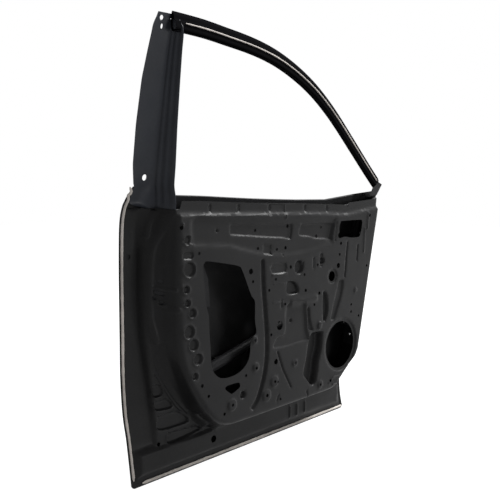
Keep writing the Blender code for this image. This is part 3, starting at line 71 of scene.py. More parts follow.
# INNER PANEL. One deep-drawn sheet of mild steel, 1 mm thick, that carries the whole door: the trim face,
# the latch jamb, the hinge wall and the hem flange are one pressing. It is drawn, trimmed and pierced in a
# press line, dipped in dark primer, and held in the outer skin's folded hem.
door_length = 1.134
door_height = 0.800
frame_height = 1.223
door_corner = Vector((-0.565866, 0.0515, 0.0))
skin_crown = 0.038
front_sweep = 0.045
frame_lean = -0.277
trim_face_y = -0.070
seal_floor_y = 0.002
seal_land_y = -0.003
crease_y = -0.030
corner_round_y = -0.062
band_y = -0.010
belt_flange_y = -0.061
skin_gauge = 0.0008
panel_gauge = 0.0010
seat_gap = 0.0003
hem_width = 0.009
hem_inset = 0.0020
strip_set = 0.0025
edge_corner = 0.012
belt_bevel = 0.010
hinge_draft = 0.158
speaker_seat_radius = 0.091
speaker_hole_radius = 0.079
wiring_seat_radius = 0.026
hinge_bolt_radius = 0.0065

# Outlines, in thousandths of door_length and of door_height
rear_edge_shares = [
    (4, 0), (5, 75), (3, 163), (-2, 250), (-2, 375), (1, 500), (3, 625), (4, 787), (4, 887), (6.4, 922), (8, 935),
    (18, 966), (30, 995),
]
front_edge_shares = [
    (849, 0), (844, 75), (847, 150), (869, 250), (899, 375), (935, 562), (966, 750), (992, 875), (997.6, 928),
    (1000, 958),
]
belt_edge_shares = [
    (30, 995), (88, 971), (153, 963), (250, 957), (435, 941), (615, 930), (746, 926), (869, 943), (966, 954),
    (1000, 958),
]
crown_shares = [
    (0.00, 0.00), (0.12, 0.38), (0.35, 0.80), (0.62, 1.00), (0.80, 0.98), (0.90, 0.80), (1.00, 0.32),
]
trim_rear_shares = [
    (113, 896), (113, 750), (113, 525), (116, 438), (132, 362), (152, 312), (182, 250), (210, 200), (236, 170),
    (273, 151), (317, 148), (494, 148), (705, 150), (736, 164), (776, 206), (811, 237), (830, 255), (844, 280),
]
trim_front_top_shares = (944, 880)
round_line_shares = [
    (102.5, 965), (100, 860), (99, 750), (99, 530), (104, 440), (122, 365), (142, 311), (173, 247), (207, 191),
    (236, 157), (279, 140), (330, 138), (494, 138), (705, 139),
]
crease_shares = [
    (94, 965), (88.5, 850), (86, 750), (86, 550), (90, 480), (98, 436), (119, 372), (143, 306), (173, 240),
    (207, 183), (245, 143), (291, 129), (340, 126), (494, 126), (705, 126),
]
seal_inner_shares = [
    (89, 965), (82, 900), (73, 850), (66, 800), (63, 750), (63, 537), (68, 483), (78, 435), (97, 376), (120, 322),
    (143, 279), (166, 241), (190, 208), (213, 180), (238, 150), (262, 124),
]
seal_outer_shares = [
    (86.5, 965), (78, 900), (67, 850), (58, 800), (54, 750), (54, 545), (62, 470), (81, 385), (105, 326),
    (128, 280), (151, 240), (170, 212), (189, 186), (216, 152), (238, 120),
]
strip_edge_shares = [(48, 965), (49, 750), (49, 560), (51, 500), (60, 400), (69, 290), (76, 190), (79, 126)]
triangle_foot_shares = [(57, 490), (65, 400), (74, 290), (81, 190), (84, 124)]
ledge_top_shares = [(84, 115), (150, 115), (225, 115), (262, 118)]
band_top_shares = [
    (28, 104), (84, 104), (180, 104), (250, 106), (310, 114), (494, 114), (705, 114), (745, 122), (812, 118),
]
band_bottom_shares = [(28, 42), (250, 42), (494, 42), (745, 42), (812, 42)]
band_front_shares = [(812, 42), (814, 80), (812, 118)]
hinge_foot_low_shares = [(822, 140), (838, 205)]
belt_ridge_shares = [(113, 896), (180, 893), (441, 881), (661, 869), (767, 860), (830, 866), (900, 876), (944, 880)]
panel_top_shares = [
    (10, 922), (60, 922), (90, 922), (114, 920), (121.5, 946), (180, 944), (353, 931), (573, 919), (758, 906),
    (778, 902), (794, 912), (860, 917), (917, 922), (950, 930), (985, 928),
]

# Large openings in the inner panel
access_hole_shares = [
    (182, 700), (181, 725), (187, 738), (198, 740), (256, 725), (304, 710), (317, 695), (333, 652), (348, 608),
    (356, 590), (364, 580), (367, 562), (367, 500), (372, 469), (371, 453), (360, 444), (351, 431), (348, 388),
    (342, 362), (328, 340), (304, 324), (273, 318), (243, 323), (222, 341), (208, 375), (204, 450), (201, 500),
    (199, 550), (190, 594), (185, 650),
]
hex_hole_shares = [(257, 278), (262, 289), (304, 289), (310, 278), (307, 268), (289, 258), (280, 255), (272, 261)]
mirror_hole_shares = [
    (743, 835), (750, 839), (842, 838), (852, 833), (854, 819), (848, 787), (841, 769), (833, 765), (798, 766),
    (767, 772), (750, 770), (737, 769), (731, 774), (729, 785), (736, 792), (735, 810), (739, 828),
]
speaker_place_shares = (752, 319)
striker_slot_shares = [(67.5, 655), (76, 651), (86, 647), (87, 634), (76, 638), (68.5, 642)]

# Recesses: the step of their smooth outline (0 where it is straight), depth and width of wall, all in mm
recesses = [
    # step below the belt
    (10, 6.5, 15, [(146, 800), (176, 788), (273, 776), (309, 763), (357, 746), (406, 732), (459, 725), (520, 721),
        (608, 727), (688, 745), (707, 756), (724, 850), (707, 858), (608, 864), (494, 873), (350, 884), (240, 890),
        (146, 892)]),
    # middle
    (6, 6, 10, [(446, 374), (564, 371), (600, 374), (592, 412), (588, 450), (584, 494), (578, 534), (530, 550),
        (496, 536), (490, 481), (487, 431), (454, 419)]),
    # upper, rear
    (6, 12.5, 15, [(275, 815), (304, 806), (353, 799), (397, 792), (441, 786), (481, 781), (511, 774), (526, 780),
        (534, 825), (527, 852), (494, 857), (397, 864), (291, 870), (275, 858)]),
    # upper, front
    (6, 12.5, 15, [(549, 790), (564, 781), (600, 775), (626, 766), (670, 760), (704, 757), (711, 785), (720, 830),
        (711, 842), (670, 847), (573, 852), (559, 845), (549, 820)]),
    # pocket in the shelf
    (0, 9.5, 5, [(401, 739), (438, 731), (440, 774), (403, 781)]),
    # deep one beside the speaker
    (6, 24, 12, [(603, 395), (617, 403), (660, 398), (661, 375), (658, 328), (645, 278), (640, 237), (632, 194),
        (620, 182), (608, 185), (589, 212), (572, 240), (575, 268), (584, 307), (592, 360)]),
    # front leaf
    (5, 12, 8, [(660, 450), (658, 512), (660, 557), (668, 562), (679, 550), (685, 519), (687, 485), (682, 453),
        (672, 432), (663, 438)]),
    # rear leaf
    (5, 6, 5, [(586, 502), (593, 512), (599, 495), (603, 456), (610, 431), (616, 412), (608, 408), (600, 412),
        (591, 422), (589, 456)]),
    # diagonal
    (6, 6, 7, [(698, 435), (711, 497), (725, 550), (737, 593), (760, 593), (760, 557), (750, 515), (734, 470),
        (718, 432)]),
    # dark panel
    (6, 12, 7, [(499, 624), (527, 623), (544, 603), (549, 575), (529, 569), (510, 570), (496, 578), (494, 600)]),
    # shelf
    (12, 4, 4, [(434, 664), (490, 661), (492, 698), (434, 700)]),
]
bead_line_shares = [
    (397, 713), (400, 625), (406, 550), (411, 487), (414, 425), (414, 362), (407, 300), (393, 244), (377, 200),
    (360, 177),
]
groove_lines_shares = [
    [(779, 748), (773, 680), (767, 604)], [(833, 731), (829, 666)],
    [(459, 362), (481, 290), (516, 210)], [(481, 728), (484, 774)],
]
band_bead_shares = [577, 609, 646]
notch_shares = [212, 313, 432, 582, 683]

# Round pressings: place, and radius in thousandths of door_length
margin_emboss_shares = [
    (136.5, 719, 19.5), (126, 654, 10.5), (129, 608, 10.5), (145, 572, 12.5), (134, 510, 17.5), (148, 463, 16),
    (162, 411, 15.5), (152, 354, 10.5), (131, 817, 12.5),
]
round_dimple_shares = [(549, 673, 21), (519, 469, 10), (655, 685, 12), (322, 237.5, 12), (233.7, 840, 8)]
boss_shares = [(280, 215, 18), (370, 328, 14), (445, 252, 18), (413, 208, 19), (649, 180, 14), (365, 430, 13)]

wiring_place_shares = (706, 615)

# Punched holes: radius in mm, and their places
punched_holes = [
    # trim clips
    (4.5, [(384, 763), (460, 752), (379, 829), (359, 646), (450, 641), (423, 604), (432, 434), (280, 215),
        (370, 325), (333, 306), (198, 272), (253, 190), (472, 175), (459, 246), (445, 252), (649, 179), (573, 641),
        (633, 672), (619, 514), (489, 540), (661, 819), (739, 702), (882, 637), (802, 481), (802, 450), (842, 425),
        (787, 902), (168, 770), (365, 430)]),
    # screws
    (5.5, [(496, 754), (510, 835), (639, 785), (512, 679), (579, 578), (642, 556), (413, 208), (701, 179),
        (745, 747), (895, 854), (176, 315), (113, 860)]),
    (8.5, [(351, 684), (733, 656), (452, 326)]),  # plugs
    (5.5, [(80.7, 683), (69.5, 630), (80.7, 612)]),  # latch screws
    (10.5, [(268, 76)]),  # drain
    (5.5, [(91, 121)]),  # corner flat
    (14, [(467, 462)]),  # locator
    (17, [wiring_place_shares]),  # wiring
    (7, [(30, 764)]),  # weather strip flange
]

# Hinge wall: the bolts sit at these heights, at these depths from the trim face
hinge_bolt_shares = [(0.377, 1.05), (0.334, 0.60), (0.769, 0.84), (0.726, 0.36)]
check_slot_share = 0.620
check_slot_height = 0.030
check_slot_depth = 0.014
check_nut_shares = [(0.591, 0.62), (0.649, 0.62)]

# Fine ridges (height above 0) and grooves, in mm on the panel: middle line, width, height
ridge_lines = [
    ([(495, 527), (560, 527)], 7, 3), ([(560, 690), (560, 745), (690, 738)], 7, 2.5),
    ([(1000, 640), (1006, 690)], 10, 3), ([(980, 560), (984, 640)], 9, 3), ([(410, 640), (410, 682)], 7, -3),
    ([(812, 610), (820, 668)], 10, -3), ([(140, 613), (160, 613)], 22, -5), ([(128, 690), (134, 697)], 9, 3),
    ([(538, 424), (538, 445)], 9, -2.5), ([(697, 530), (697, 560)], 9, -3), ([(737, 536), (737, 566)], 18, -4),
    ([(163, 652), (178, 652)], 20, -4.5), ([(498, 443), (545, 441)], 6, 2.5),
    ([(500, 500), (548, 497)], 6, 2), ([(729, 338), (731, 342)], 24, 5), ([(582, 403), (582, 420)], 9, -3),
    ([(586, 378), (586, 392)], 8, -3), ([(602, 240), (606, 240)], 24, 3), ([(603, 240), (605, 240)], 11, -4),
    ([(786, 137), (808, 153), (848, 154)], 7, 3.5), ([(808, 129), (846, 131)], 7, 3.5),
    ([(667, 136), (674, 116)], 8, -3.5), ([(527, 154), (518, 138)], 8, -3.5),
    ([(931, 431), (933, 433)], 18, 3), ([(636, 532), (643, 550)], 12, -4),
]
# The same on the jamb, along smooth lines: the ridges at its corner and the rims of the latch slot
jamb_lines = [
    ([(92, 728), (78, 695), (70, 664)], 13, 4), ([(109, 730), (106, 684), (100.5, 638), (98, 590)], 8, 4),
    ([(73, 500), (97, 483)], 12, 6), ([(74, 532), (99, 526), (112, 524)], 10, 5),
    ([(103, 472), (116, 471)], 20, 2.5),
]
# The raised edge of the jamb's flat
jamb_flat_edges = [
    ([(106, 722), (96, 682), (79, 642), (72, 602), (70, 522), (70, 458), (75, 420), (84, 385)], 22, 8),
]
# The ridges drawn about the flats of the rear corner, and the two long ones beside them, in mm
corner_rims = [
    [(84, 262), (110, 262), (121, 242), (112, 229), (90, 229), (82, 240), (84, 262)],
    [(90, 219), (134, 216), (154, 198), (147, 187), (97, 191), (87, 203), (90, 219)],
    [(100, 173), (172, 173), (214, 143), (204, 131), (113, 133), (94, 150), (100, 173)],
    [(136, 121), (240, 114), (258, 106), (256, 97), (145, 88), (130, 102), (136, 121)],
    [(89, 292), (120, 246), (156, 196), (190, 160), (229, 136)], [(99, 318), (130, 262), (190, 186), (240, 140)],
]


def metres(points):
    """Places in metres from millimetres on the panel."""
    return [(x / 1000, z / 1000) for x, z in points]


def spots(shares):
    """Places in metres from thousandths of the door's length and height."""
    return [(x / 1000 * door_length, z / 1000 * door_height) for x, z in shares]


def smooth(points, step, closed=False):
    """A smooth line through the points, with a point about every step."""
    ends = [points[-1]] + list(points) + points[:2] if closed else [points[0]] + list(points) + [points[-1]]
    line = []
    for a, b, c, d in zip(ends, ends[1:], ends[2:], ends[3:]):
        count = max(1, round(math.dist(b, c) / step))
        for k in range(count):
            t = k / count
            line.append(tuple(
                0.5 * (2 * q + (r - p) * t + (2 * p - 5 * q + 4 * r - s) * t * t
                       + (3 * q - p - 3 * r + s) * t ** 3)
                for p, q, r, s in zip(a, b, c, d)))
    return line if closed else line + [tuple(points[-1])]


def drawn(shares, step=0.010, closed=False):
    """A smooth line through places given in thousandths."""
    return smooth(spots(shares), step, closed)


def arc_loop(x, z, radius_x, radius_z, count):
    """A round loop."""
    turns = [2 * math.pi * k / count for k in range(count)]
    return [(x + radius_x * math.cos(t), z + radius_z * math.sin(t)) for t in turns]


def round_loop(share, radius, count):
    """A round loop about a place given in thousandths."""
    return arc_loop(*spots([share])[0], radius, radius, count)


def shift_line(points, distance):
    """An open line's points moved sideways to the left of their run."""
    moved = []
    for k, point in enumerate(points):
        before = points[max(k - 1, 0)]
        after = points[min(k + 1, len(points) - 1)]
        first = Vector((point[0] - before[0], point[1] - before[1]))
        second = Vector((after[0] - point[0], after[1] - point[1]))
        first = second.copy() if first.length == 0 else first
        second = first.copy() if second.length == 0 else second
        first.normalize()
        second.normalize()
        side = Vector((-first.y - second.y, first.x + second.x))
        side.normalize()
        stretch = 1 / max(side.dot(Vector((-first.y, first.x))), 0.6)
        moved.append((point[0] + side.x * distance * stretch, point[1] + side.y * distance * stretch))
    return moved


def capsule_loop(line, width, arc_count):
    """A closed loop of round-ended width about a line."""
    half = width / 2
    left = shift_line(line, half)
    right = shift_line(line, -half)
    ends = []
    for tip, start in ((line[-1], right[-1]), (line[0], left[0])):
        turn = math.atan2(start[1] - tip[1], start[0] - tip[0])
        ends.append([
            (tip[0] + half * math.cos(turn + math.pi * k / arc_count),
             tip[1] + half * math.sin(turn + math.pi * k / arc_count))
            for k in range(1, arc_count)])
    return right + ends[0] + left[::-1] + ends[1]


def inside_loop(x, z, loop):
    """For arrays of places: which lie inside the loop, and how far from its edge."""
    xs = np.asarray(x, float)
    zs = np.asarray(z, float)
    within = np.zeros(xs.shape, bool)
    nearest = np.full(xs.shape, np.inf)
    for (ax, az), (bx, bz) in zip(loop, loop[1:] + loop[:1]):
        crosses = (az > zs) != (bz > zs)
        rise = bz - az if bz != az else 1.0
        within ^= crosses & (xs < (bx - ax) * (zs - az) / rise + ax)
        span = (bx - ax) ** 2 + (bz - az) ** 2
        t = np.clip(((xs - ax) * (bx - ax) + (zs - az) * (bz - az)) / max(span, 1e-18), 0, 1)
        nearest = np.minimum(nearest, np.hypot(xs - ax - t * (bx - ax), zs - az - t * (bz - az)))
    return within, nearest


crown_line = smooth(crown_shares, 0.02)


def body_side(x, z):
    """Y of the car's outer surface: crowned door below the belt, leaning frame above it."""
    share = np.asarray(z) / door_height
    crown = skin_crown * np.interp(share, [h for h, _ in crown_line], [c for _, c in crown_line])
    lean = frame_lean * np.maximum(np.asarray(z) - door_height, 0)
    sweep = front_sweep * (np.asarray(x) / door_length) ** 2 * np.clip(share, 0, 1)
    return crown + lean - sweep


def hem_seat(x, z):
    """Y of the inner panel's cabin face where it lies in the hem."""
    return body_side(x, z) - skin_gauge - seat_gap - panel_gauge


def hinge_wall_x(y, z):
    """X of the hinge wall at a height and a depth."""
    top_x, top_z = spots([trim_front_top_shares])[0]
    low_x, low_z = spots([trim_rear_shares[-1]])[0]
    return low_x + (top_x - low_x) * (z - low_z) / (top_z - low_z) + hinge_draft * (y - trim_face_y)


def base_lines():
    """The press tool's feature lines with their depths; None means just inboard of the hem seat."""
    top_x, top_z = spots([trim_front_top_shares])[0]
    trim_rear = drawn(trim_rear_shares)
    wall_heights = np.linspace(trim_rear[-1][1], top_z, 40)
    trim_front = [(hinge_wall_x(trim_face_y, z), z) for z in wall_heights]
    hinge_foot = []
    for z in wall_heights:
        near = hem_seat(hinge_wall_x(0, z), z) - strip_set
        hinge_foot.append((hinge_wall_x(near, z), z))
    ridge = drawn(belt_ridge_shares, 0.012)
    bevel = shift_line(ridge, belt_bevel)
    hem_land = spots([(19, 115), (19, 30), (400, 30), (823, 30), (825, 115)])
    return [
        (trim_rear + trim_front[1:], trim_face_y),
        (drawn(round_line_shares), corner_round_y),
        (drawn(crease_shares), crease_y),
        (drawn(seal_inner_shares), seal_land_y),
        (drawn(seal_outer_shares), seal_floor_y),
        (drawn(triangle_foot_shares), seal_floor_y),
        (spots(ledge_top_shares), seal_floor_y),
        (drawn(band_top_shares, 0.012), band_y),
        (spots(band_bottom_shares), band_y),
        (spots(band_front_shares), band_y),
        (spots([(28, 104), (28, 42)]), band_y),
        (ridge, trim_face_y),
        (bevel, belt_flange_y),
        (spots([(117, 955), (500, 945), (780, 930), (949, 945)]), belt_flange_y),
        (drawn(strip_edge_shares, 0.015), None),
        (spots([(19, 122), (79, 126)]), None),
        (hem_land, None),
        (spots(hinge_foot_low_shares) + hinge_foot + spots([(958.5, 940)]), None),
    ]


def edge_path(step):
    """The folded edge: down the front, along the bottom, up the rear, with rounded corners."""
    front = drawn(front_edge_shares, step)[::-1]
    rear = drawn(rear_edge_shares, step)
    path = [p for p in front if p[1] > edge_corner]
    quarter = [math.pi / 2 * k / 7 for k in range(8)]
    for turn in quarter:
        path.append((front[-1][0] - edge_corner + edge_corner * math.cos(turn),
                     edge_corner - edge_corner * math.sin(turn)))
    count = round((front[-1][0] - rear[0][0]) / step)
    for k in range(2, count - 1):
        path.append((front[-1][0] + (rear[0][0] - front[-1][0]) * k / count, 0))
    for turn in quarter:
        path.append((rear[0][0] + edge_corner - edge_corner * math.sin(turn),
                     edge_corner - edge_corner * math.cos(turn)))
    return path + [p for p in rear if p[1] > edge_corner]


def cut_path(path, front_top, rear_top):
    """The path kept below a height at each end, with points set on both heights."""
    low = [p for p in path if p[1] < (front_top if p[0] > door_length / 2 else rear_top)]
    first = path.index(low[0])
    last = path.index(low[-1])
    ends = []
    for inner, outer, top in ((path[first], path[first - 1], front_top), (path[last], path[last + 1], rear_top)):
        t = (top - inner[1]) / (outer[1] - inner[1])
        ends.append((inner[0] + (outer[0] - inner[0]) * t, top))
    return [ends[0]] + low + [ends[1]]


door_path = edge_path(0.009)
panel_top = spots(panel_top_shares)
panel_side = cut_path(shift_line(door_path, -hem_inset), panel_top[-1][1], panel_top[0][1])
panel_edge = panel_side + panel_top[1:-1]


def base_surface():
    """The drawn form without its small pressings, as a surface to drop points on."""
    points = []
    levels = []
    edges = []
    run_on = 0.004
    lines = [(shift_line(door_path, -inset), "seat") for inset in (-run_on, 0.0, hem_inset + hem_width)]
    for line, level in lines + base_lines():
        first = len(points)
        points.extend(Vector(p) for p in line)
        for x, z in line:
            on_seat = hem_seat(x, z)
            levels.append(on_seat if level == "seat" else on_seat - strip_set if level is None else level)
        edges.extend((first + k, first + k + 1) for k in range(len(line) - 1))
    flat, _, faces, origins, _, _ = delaunay_2d_cdt(points, edges, [], 0, 1e-6)
    corners = []
    for place, origin in zip(flat, origins):
        if origin:
            corners.append(Vector((place.x, levels[origin[0]], place.y)))
            continue
        near = sorted(range(len(points)), key=lambda k: (points[k] - place).length)[:2]
        corners.append(Vector((place.x, sum(levels[k] for k in near) / 2, place.y)))
    return BVHTree.FromPolygons(corners, faces)


raster_step = 0.002
raster_low = (-0.010, -0.010)
raster_size = (578, 396)


def blurred(levels, reach):
    """A height field softened by a bell of this reach, in cells."""
    span = range(-int(3 * reach) - 1, int(3 * reach) + 2)
    weights = np.array([math.exp(-k * k / (2 * reach * reach)) for k in span])
    weights /= weights.sum()
    for axis in (0, 1):
        pad = [(0, 0), (0, 0)]
        pad[axis] = (len(weights) // 2, len(weights) // 2)
        wide = np.pad(levels, pad, mode="edge")
        count = levels.shape[axis]
        levels = sum(w * np.take(wide, range(k, k + count), axis=axis) for k, w in enumerate(weights))
    return levels


def drop_base():
    """The base form's heights on a square raster."""
    tree = base_surface()
    down = Vector((0, 1, 0))
    levels = np.zeros(raster_size)
    for i in range(raster_size[0]):
        x = raster_low[0] + i * raster_step
        for j in range(raster_size[1]):
            z = raster_low[1] + j * raster_step
            hit = tree.ray_cast(Vector((x, -1, z)), down)[0]
            if hit is None:
                hit = tree.find_nearest(Vector((x, 0, z)))[0]
            levels[i, j] = hit.y
    return levels


pressings = []


def press(loop, depth, wall):
    """Notes a pressing: its outline, how far it goes outboard (below 0: inboard) and its wall's width, in mm."""
    pressings.append((loop, depth / 1000, wall / 1000))


for step, depth, wall, outline in recesses:
    press(drawn(outline, step / 1000, True) if step else spots(outline), depth, wall)
# The long bead in front of the access hole, the soft ledge above the deep recess, and the narrow grooves
bead_width = 0.020
ledge_width = 0.034
groove_width = 0.008
press(capsule_loop(drawn(bead_line_shares), bead_width, 10), 9, 7)
press(capsule_loop(metres([(592, 430), (704, 433)]), ledge_width, 10), -6, 14)
for groove in groove_lines_shares:
    press(capsule_loop(spots(groove), groove_width, 8), 5, 3.5)
# Round ones: embosses along the margin with a low rim round each, dimples, bosses, and the two round seats
emboss_rim = 0.004
for x, z, radius in margin_emboss_shares:
    press(round_loop((x, z), radius / 1000 * door_length, 28), 8.5, 6)
    press(round_loop((x, z), radius / 1000 * door_length + emboss_rim, 28), -1.6, 3)
for x, z, radius in round_dimple_shares:
    press(round_loop((x, z), radius / 1000 * door_length, 28), 12, 8)
for x, z, radius in boss_shares:
    press(round_loop((x, z), radius / 1000 * door_length, 28), -4, 6)
press(round_loop(speaker_place_shares, speaker_seat_radius, 90), 5, 4)
press(round_loop(wiring_place_shares, wiring_seat_radius, 40), 4, 4)
for rim in corner_rims:
    line = smooth(metres(rim), 0.006)
    press(capsule_loop(line, 0.006, 6), -2.5, 3)
    if rim[0] == rim[-1]:
        press(line[:-1], 5.5, 4)
for share in band_bead_shares:
    press(capsule_loop(spots([(share, 53), (share, 92)]), 0.010, 8), -5, 4)
for share in notch_shares:
    foot = np.interp(share, *zip(*belt_ridge_shares))
    x, z = spots([(share, foot)])[0]
    press(arc_loop(x, z + belt_bevel + 0.012, 0.007, 0.012, 20), 3, 4)
for line in (seal_inner_shares[7:], seal_outer_shares[6:], crease_shares[5:]):
    press(capsule_loop(drawn(line), 0.007, 6), -2.2, 3)
for lines, wall in ((ridge_lines, 3.5), (jamb_lines, 2.8), (jamb_flat_edges, 9)):
    for line, width, height in lines:
        middle = metres(line) if lines is ridge_lines else smooth(metres(line), 0.010)
        press(capsule_loop(middle, width / 1000, 8), -height, wall)


def pressed(levels):
    """The raster with every pressing pushed in, each wall an S so that its edges are rounded."""
    xs = raster_low[0] + raster_step * np.arange(raster_size[0])
    zs = raster_low[1] + raster_step * np.arange(raster_size[1])
    out = np.zeros(raster_size)
    raised = np.zeros(raster_size)
    for loop, depth, wall in pressings:
        low = np.min(loop, axis=0)
        high = np.max(loop, axis=0)
        across = slice(np.searchsorted(xs, low[0]), np.searchsorted(xs, high[0]) + 1)
        up = slice(np.searchsorted(zs, low[1]), np.searchsorted(zs, high[1]) + 1)
        grid_x, grid_z = np.meshgrid(xs[across], zs[up], indexing="ij")
        within, near = inside_loop(grid_x, grid_z, loop)
        share = np.clip(near / wall, 0, 1)
        push = np.where(within, depth * share * share * (3 - 2 * share), 0)
        if depth > 0:
            out[across, up] = np.maximum(out[across, up], push)
        else:
            raised[across, up] = np.minimum(raised[across, up], push)
    return levels + out + raised


# How far the base form and then the pressed one are softened, in cells
base_softness = 1.1
pressed_softness = 0.55
panel_raster = blurred(pressed(blurred(drop_base(), base_softness)), pressed_softness)


def raster_level(x, z):
    """Y of the finished panel's cabin face at places, read between the raster's cells."""
    u = np.clip((np.asarray(x) - raster_low[0]) / raster_step, 0, raster_size[0] - 1.001)
    v = np.clip((np.asarray(z) - raster_low[1]) / raster_step, 0, raster_size[1] - 1.001)
    i = u.astype(int)
    j = v.astype(int)
    s = u - i
    t = v - j
    return (panel_raster[i, j] * (1 - s) * (1 - t) + panel_raster[i + 1, j] * s * (1 - t)
            + panel_raster[i, j + 1] * (1 - s) * t + panel_raster[i + 1, j + 1] * s * t)


hold_fade = 0.004
hold_depth = 0.012
hold_end = panel_top[0][1] - 0.006


def panel_level(x, z):
    """The panel's level, held exactly on its seat along the hem so that it stays clear of the skin."""
    near = inside_loop(x, z, panel_edge)[1]
    seat = hem_seat(x, z)
    hold = np.clip(1 - (near - hem_width) / hold_fade, 0, 1)
    free = raster_level(x, z)
    held = (np.asarray(z) < hold_end) & (free > seat - hold_depth)
    return np.where(held, free + (np.minimum(free, seat) - free) * hold, free)


def add_node(nodes, kind, values=(), operation=None):
    """A shader node, with its inputs set by name."""
    node = nodes.new("ShaderNode" + kind)
    for name, value in dict(values).items():
        node.inputs[name].default_value = value
    if operation:
        node.operation = operation
    return node


def coated_steel(name, color, rough, peel_scale=1.0, shine=0.10):
    """Dark dip primer: satin, a little uneven in tone and gloss, with a fine orange peel."""
    material = bpy.data.materials.new(name)
    material.use_nodes = True
    nodes = material.node_tree.nodes
    link = material.node_tree.links.new
    where = nodes.new("ShaderNodeTexCoord")
    # Noise scales, the largest forms first: soft clouds of tone, patches of gloss, fine mottle, orange peel
    clouds, patches, mottle, peel = 7, 22, 160, 700

    def noise_at(scale, detail):
        grain = add_node(nodes, "TexNoise", {"Scale": scale, "Detail": detail})
        link(where.outputs["Object"], grain.inputs["Vector"])
        return grain.outputs["Fac"]

    def uneven(scale, detail, low, high):
        spread = add_node(nodes, "MapRange", {"From Min": 0.3, "From Max": 0.7, "To Min": low, "To Max": high})
        link(noise_at(scale, detail), spread.inputs["Value"])
        return spread.outputs[0]

    both = add_node(nodes, "Math", operation="MULTIPLY")
    link(uneven(clouds, 5, 0.84, 1.14), both.inputs[0])
    link(uneven(mottle, 3, 0.93, 1.07), both.inputs[1])
    tint = add_node(nodes, "VectorMath", operation="SCALE")
    tint.inputs[0].default_value = color
    link(both.outputs[0], tint.inputs["Scale"])
    bump = add_node(nodes, "Bump", {"Strength": 0.10 * peel_scale, "Distance": 0.0003})
    link(noise_at(peel, 2), bump.inputs["Height"])
    shader = nodes["Principled BSDF"]
    shader.inputs["Specular IOR Level"].default_value = shine
    link(tint.outputs[0], shader.inputs["Base Color"])
    link(uneven(patches, 4, rough - 0.05, rough + 0.07), shader.inputs["Roughness"])
    link(bump.outputs["Normal"], shader.inputs["Normal"])
    return material


primer_color = (0.0172, 0.0172, 0.0177)
primer = coated_steel("dark dip primer", primer_color, 0.42)


def thickened(places, faces, gauge, side):
    """A closed body from a sheet of triangles or quads: its second face lies a gauge away."""
    places = np.asarray(places, float)
    loops = np.array([tuple(f) + (f[-1],) * (4 - len(f)) for f in faces])
    corners = places[loops]
    flats = np.cross(corners[:, 2] - corners[:, 0], corners[:, 3] - corners[:, 1])
    flats /= np.maximum(np.linalg.norm(flats, axis=1), 1e-15)[:, None]
    normals = np.zeros_like(places)
    for k in range(4):
        ahead = corners[:, (k + 1) % 4] - corners[:, k]
        behind = corners[:, k - 1] - corners[:, k]
        size = np.maximum(np.linalg.norm(ahead, axis=1) * np.linalg.norm(behind, axis=1), 1e-15)
        angle = np.arccos(np.clip((ahead * behind).sum(axis=1) / size, -1, 1))
        np.add.at(normals, loops[:, k], flats * angle[:, None])
    normals /= np.maximum(np.linalg.norm(normals, axis=1), 1e-15)[:, None]
    stretch = np.ones(len(places))
    for k in range(4):
        lean = (normals[loops[:, k]] * flats).sum(axis=1)
        np.maximum.at(stretch, loops[:, k], 1 / np.maximum(lean, 0.75))
    second = places + normals * (side * gauge * stretch)[:, None]
    count = len(places)
    uses = set()
    for face in faces:
        uses.update(zip(face, tuple(face[1:]) + tuple(face[:1])))
    rims = sorted((a, b) for a, b in uses if (b, a) not in uses)
    flip = side > 0
    body = [tuple(face)[::-1] if flip else tuple(face) for face in faces]
    body += [tuple(c + count for c in (face if flip else tuple(face)[::-1])) for face in faces]
    body += [(a, b, b + count, a + count) if flip else (b, a, a + count, b + count) for a, b in rims]
    return np.vstack([places, second]), body


def placed(name, data):
    """A new object in the scene."""
    item = bpy.data.objects.new(name, data)
    bpy.context.scene.collection.objects.link(item)
    return item


sharp_angle = 50


def make_piece(name, places, faces, material, gauge=None, side=-1):
    """An object from points in the door's own corner frame, moved to where the door stands."""
    if gauge:
        places, faces = thickened(places, faces, gauge, side)
    mesh = bpy.data.meshes.new(name)
    mesh.from_pydata([Vector(p) + door_corner for p in places], [], [tuple(map(int, f)) for f in faces])
    mesh.validate()
    mesh.materials.append(material)
    mesh.shade_smooth()
    mesh.set_sharp_from_angle(angle=math.radians(sharp_angle))
    return placed(name, mesh)


replaced = []


def stand_in(piece, node):
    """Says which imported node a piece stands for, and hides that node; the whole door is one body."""
    replaced.append(node)
    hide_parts(node)
    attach(piece, "root")


def plan_mesh(outline, holes, lattice, level):
    """Triangles over a plan outline with holes, through the lattice points, lifted to their level."""
    points = []
    edges = []
    for loop in [outline] + holes:
        first = len(points)
        points.extend(Vector(p) for p in loop)
        edges.extend((first + k, first + (k + 1) % len(loop)) for k in range(len(loop)))
    points.extend(Vector(p) for p in lattice)
    flat, _, triangles, _, _, _ = delaunay_2d_cdt(points, edges, [], 0, 1e-7)
    plan = np.array([(p.x, p.y) for p in flat])
    corners = np.array(triangles)
    middle = plan[corners].mean(axis=1)
    keep = inside_loop(middle[:, 0], middle[:, 1], outline)[0]
    for hole in holes:
        low = np.min(hole, axis=0)
        high = np.max(hole, axis=0)
        near = np.where(np.all((middle >= low) & (middle <= high), axis=1))[0]
        keep[near[inside_loop(middle[near, 0], middle[near, 1], hole)[0]]] = False
    corners = corners[keep]
    used = np.unique(corners)
    renumber = np.zeros(len(plan), int)
    renumber[used] = np.arange(len(used))
    levels = level(plan[used, 0], plan[used, 1])
    places = np.stack([plan[used, 0], levels, plan[used, 1]], axis=1)
    return places, [tuple(c) for c in renumber[corners].tolist()]


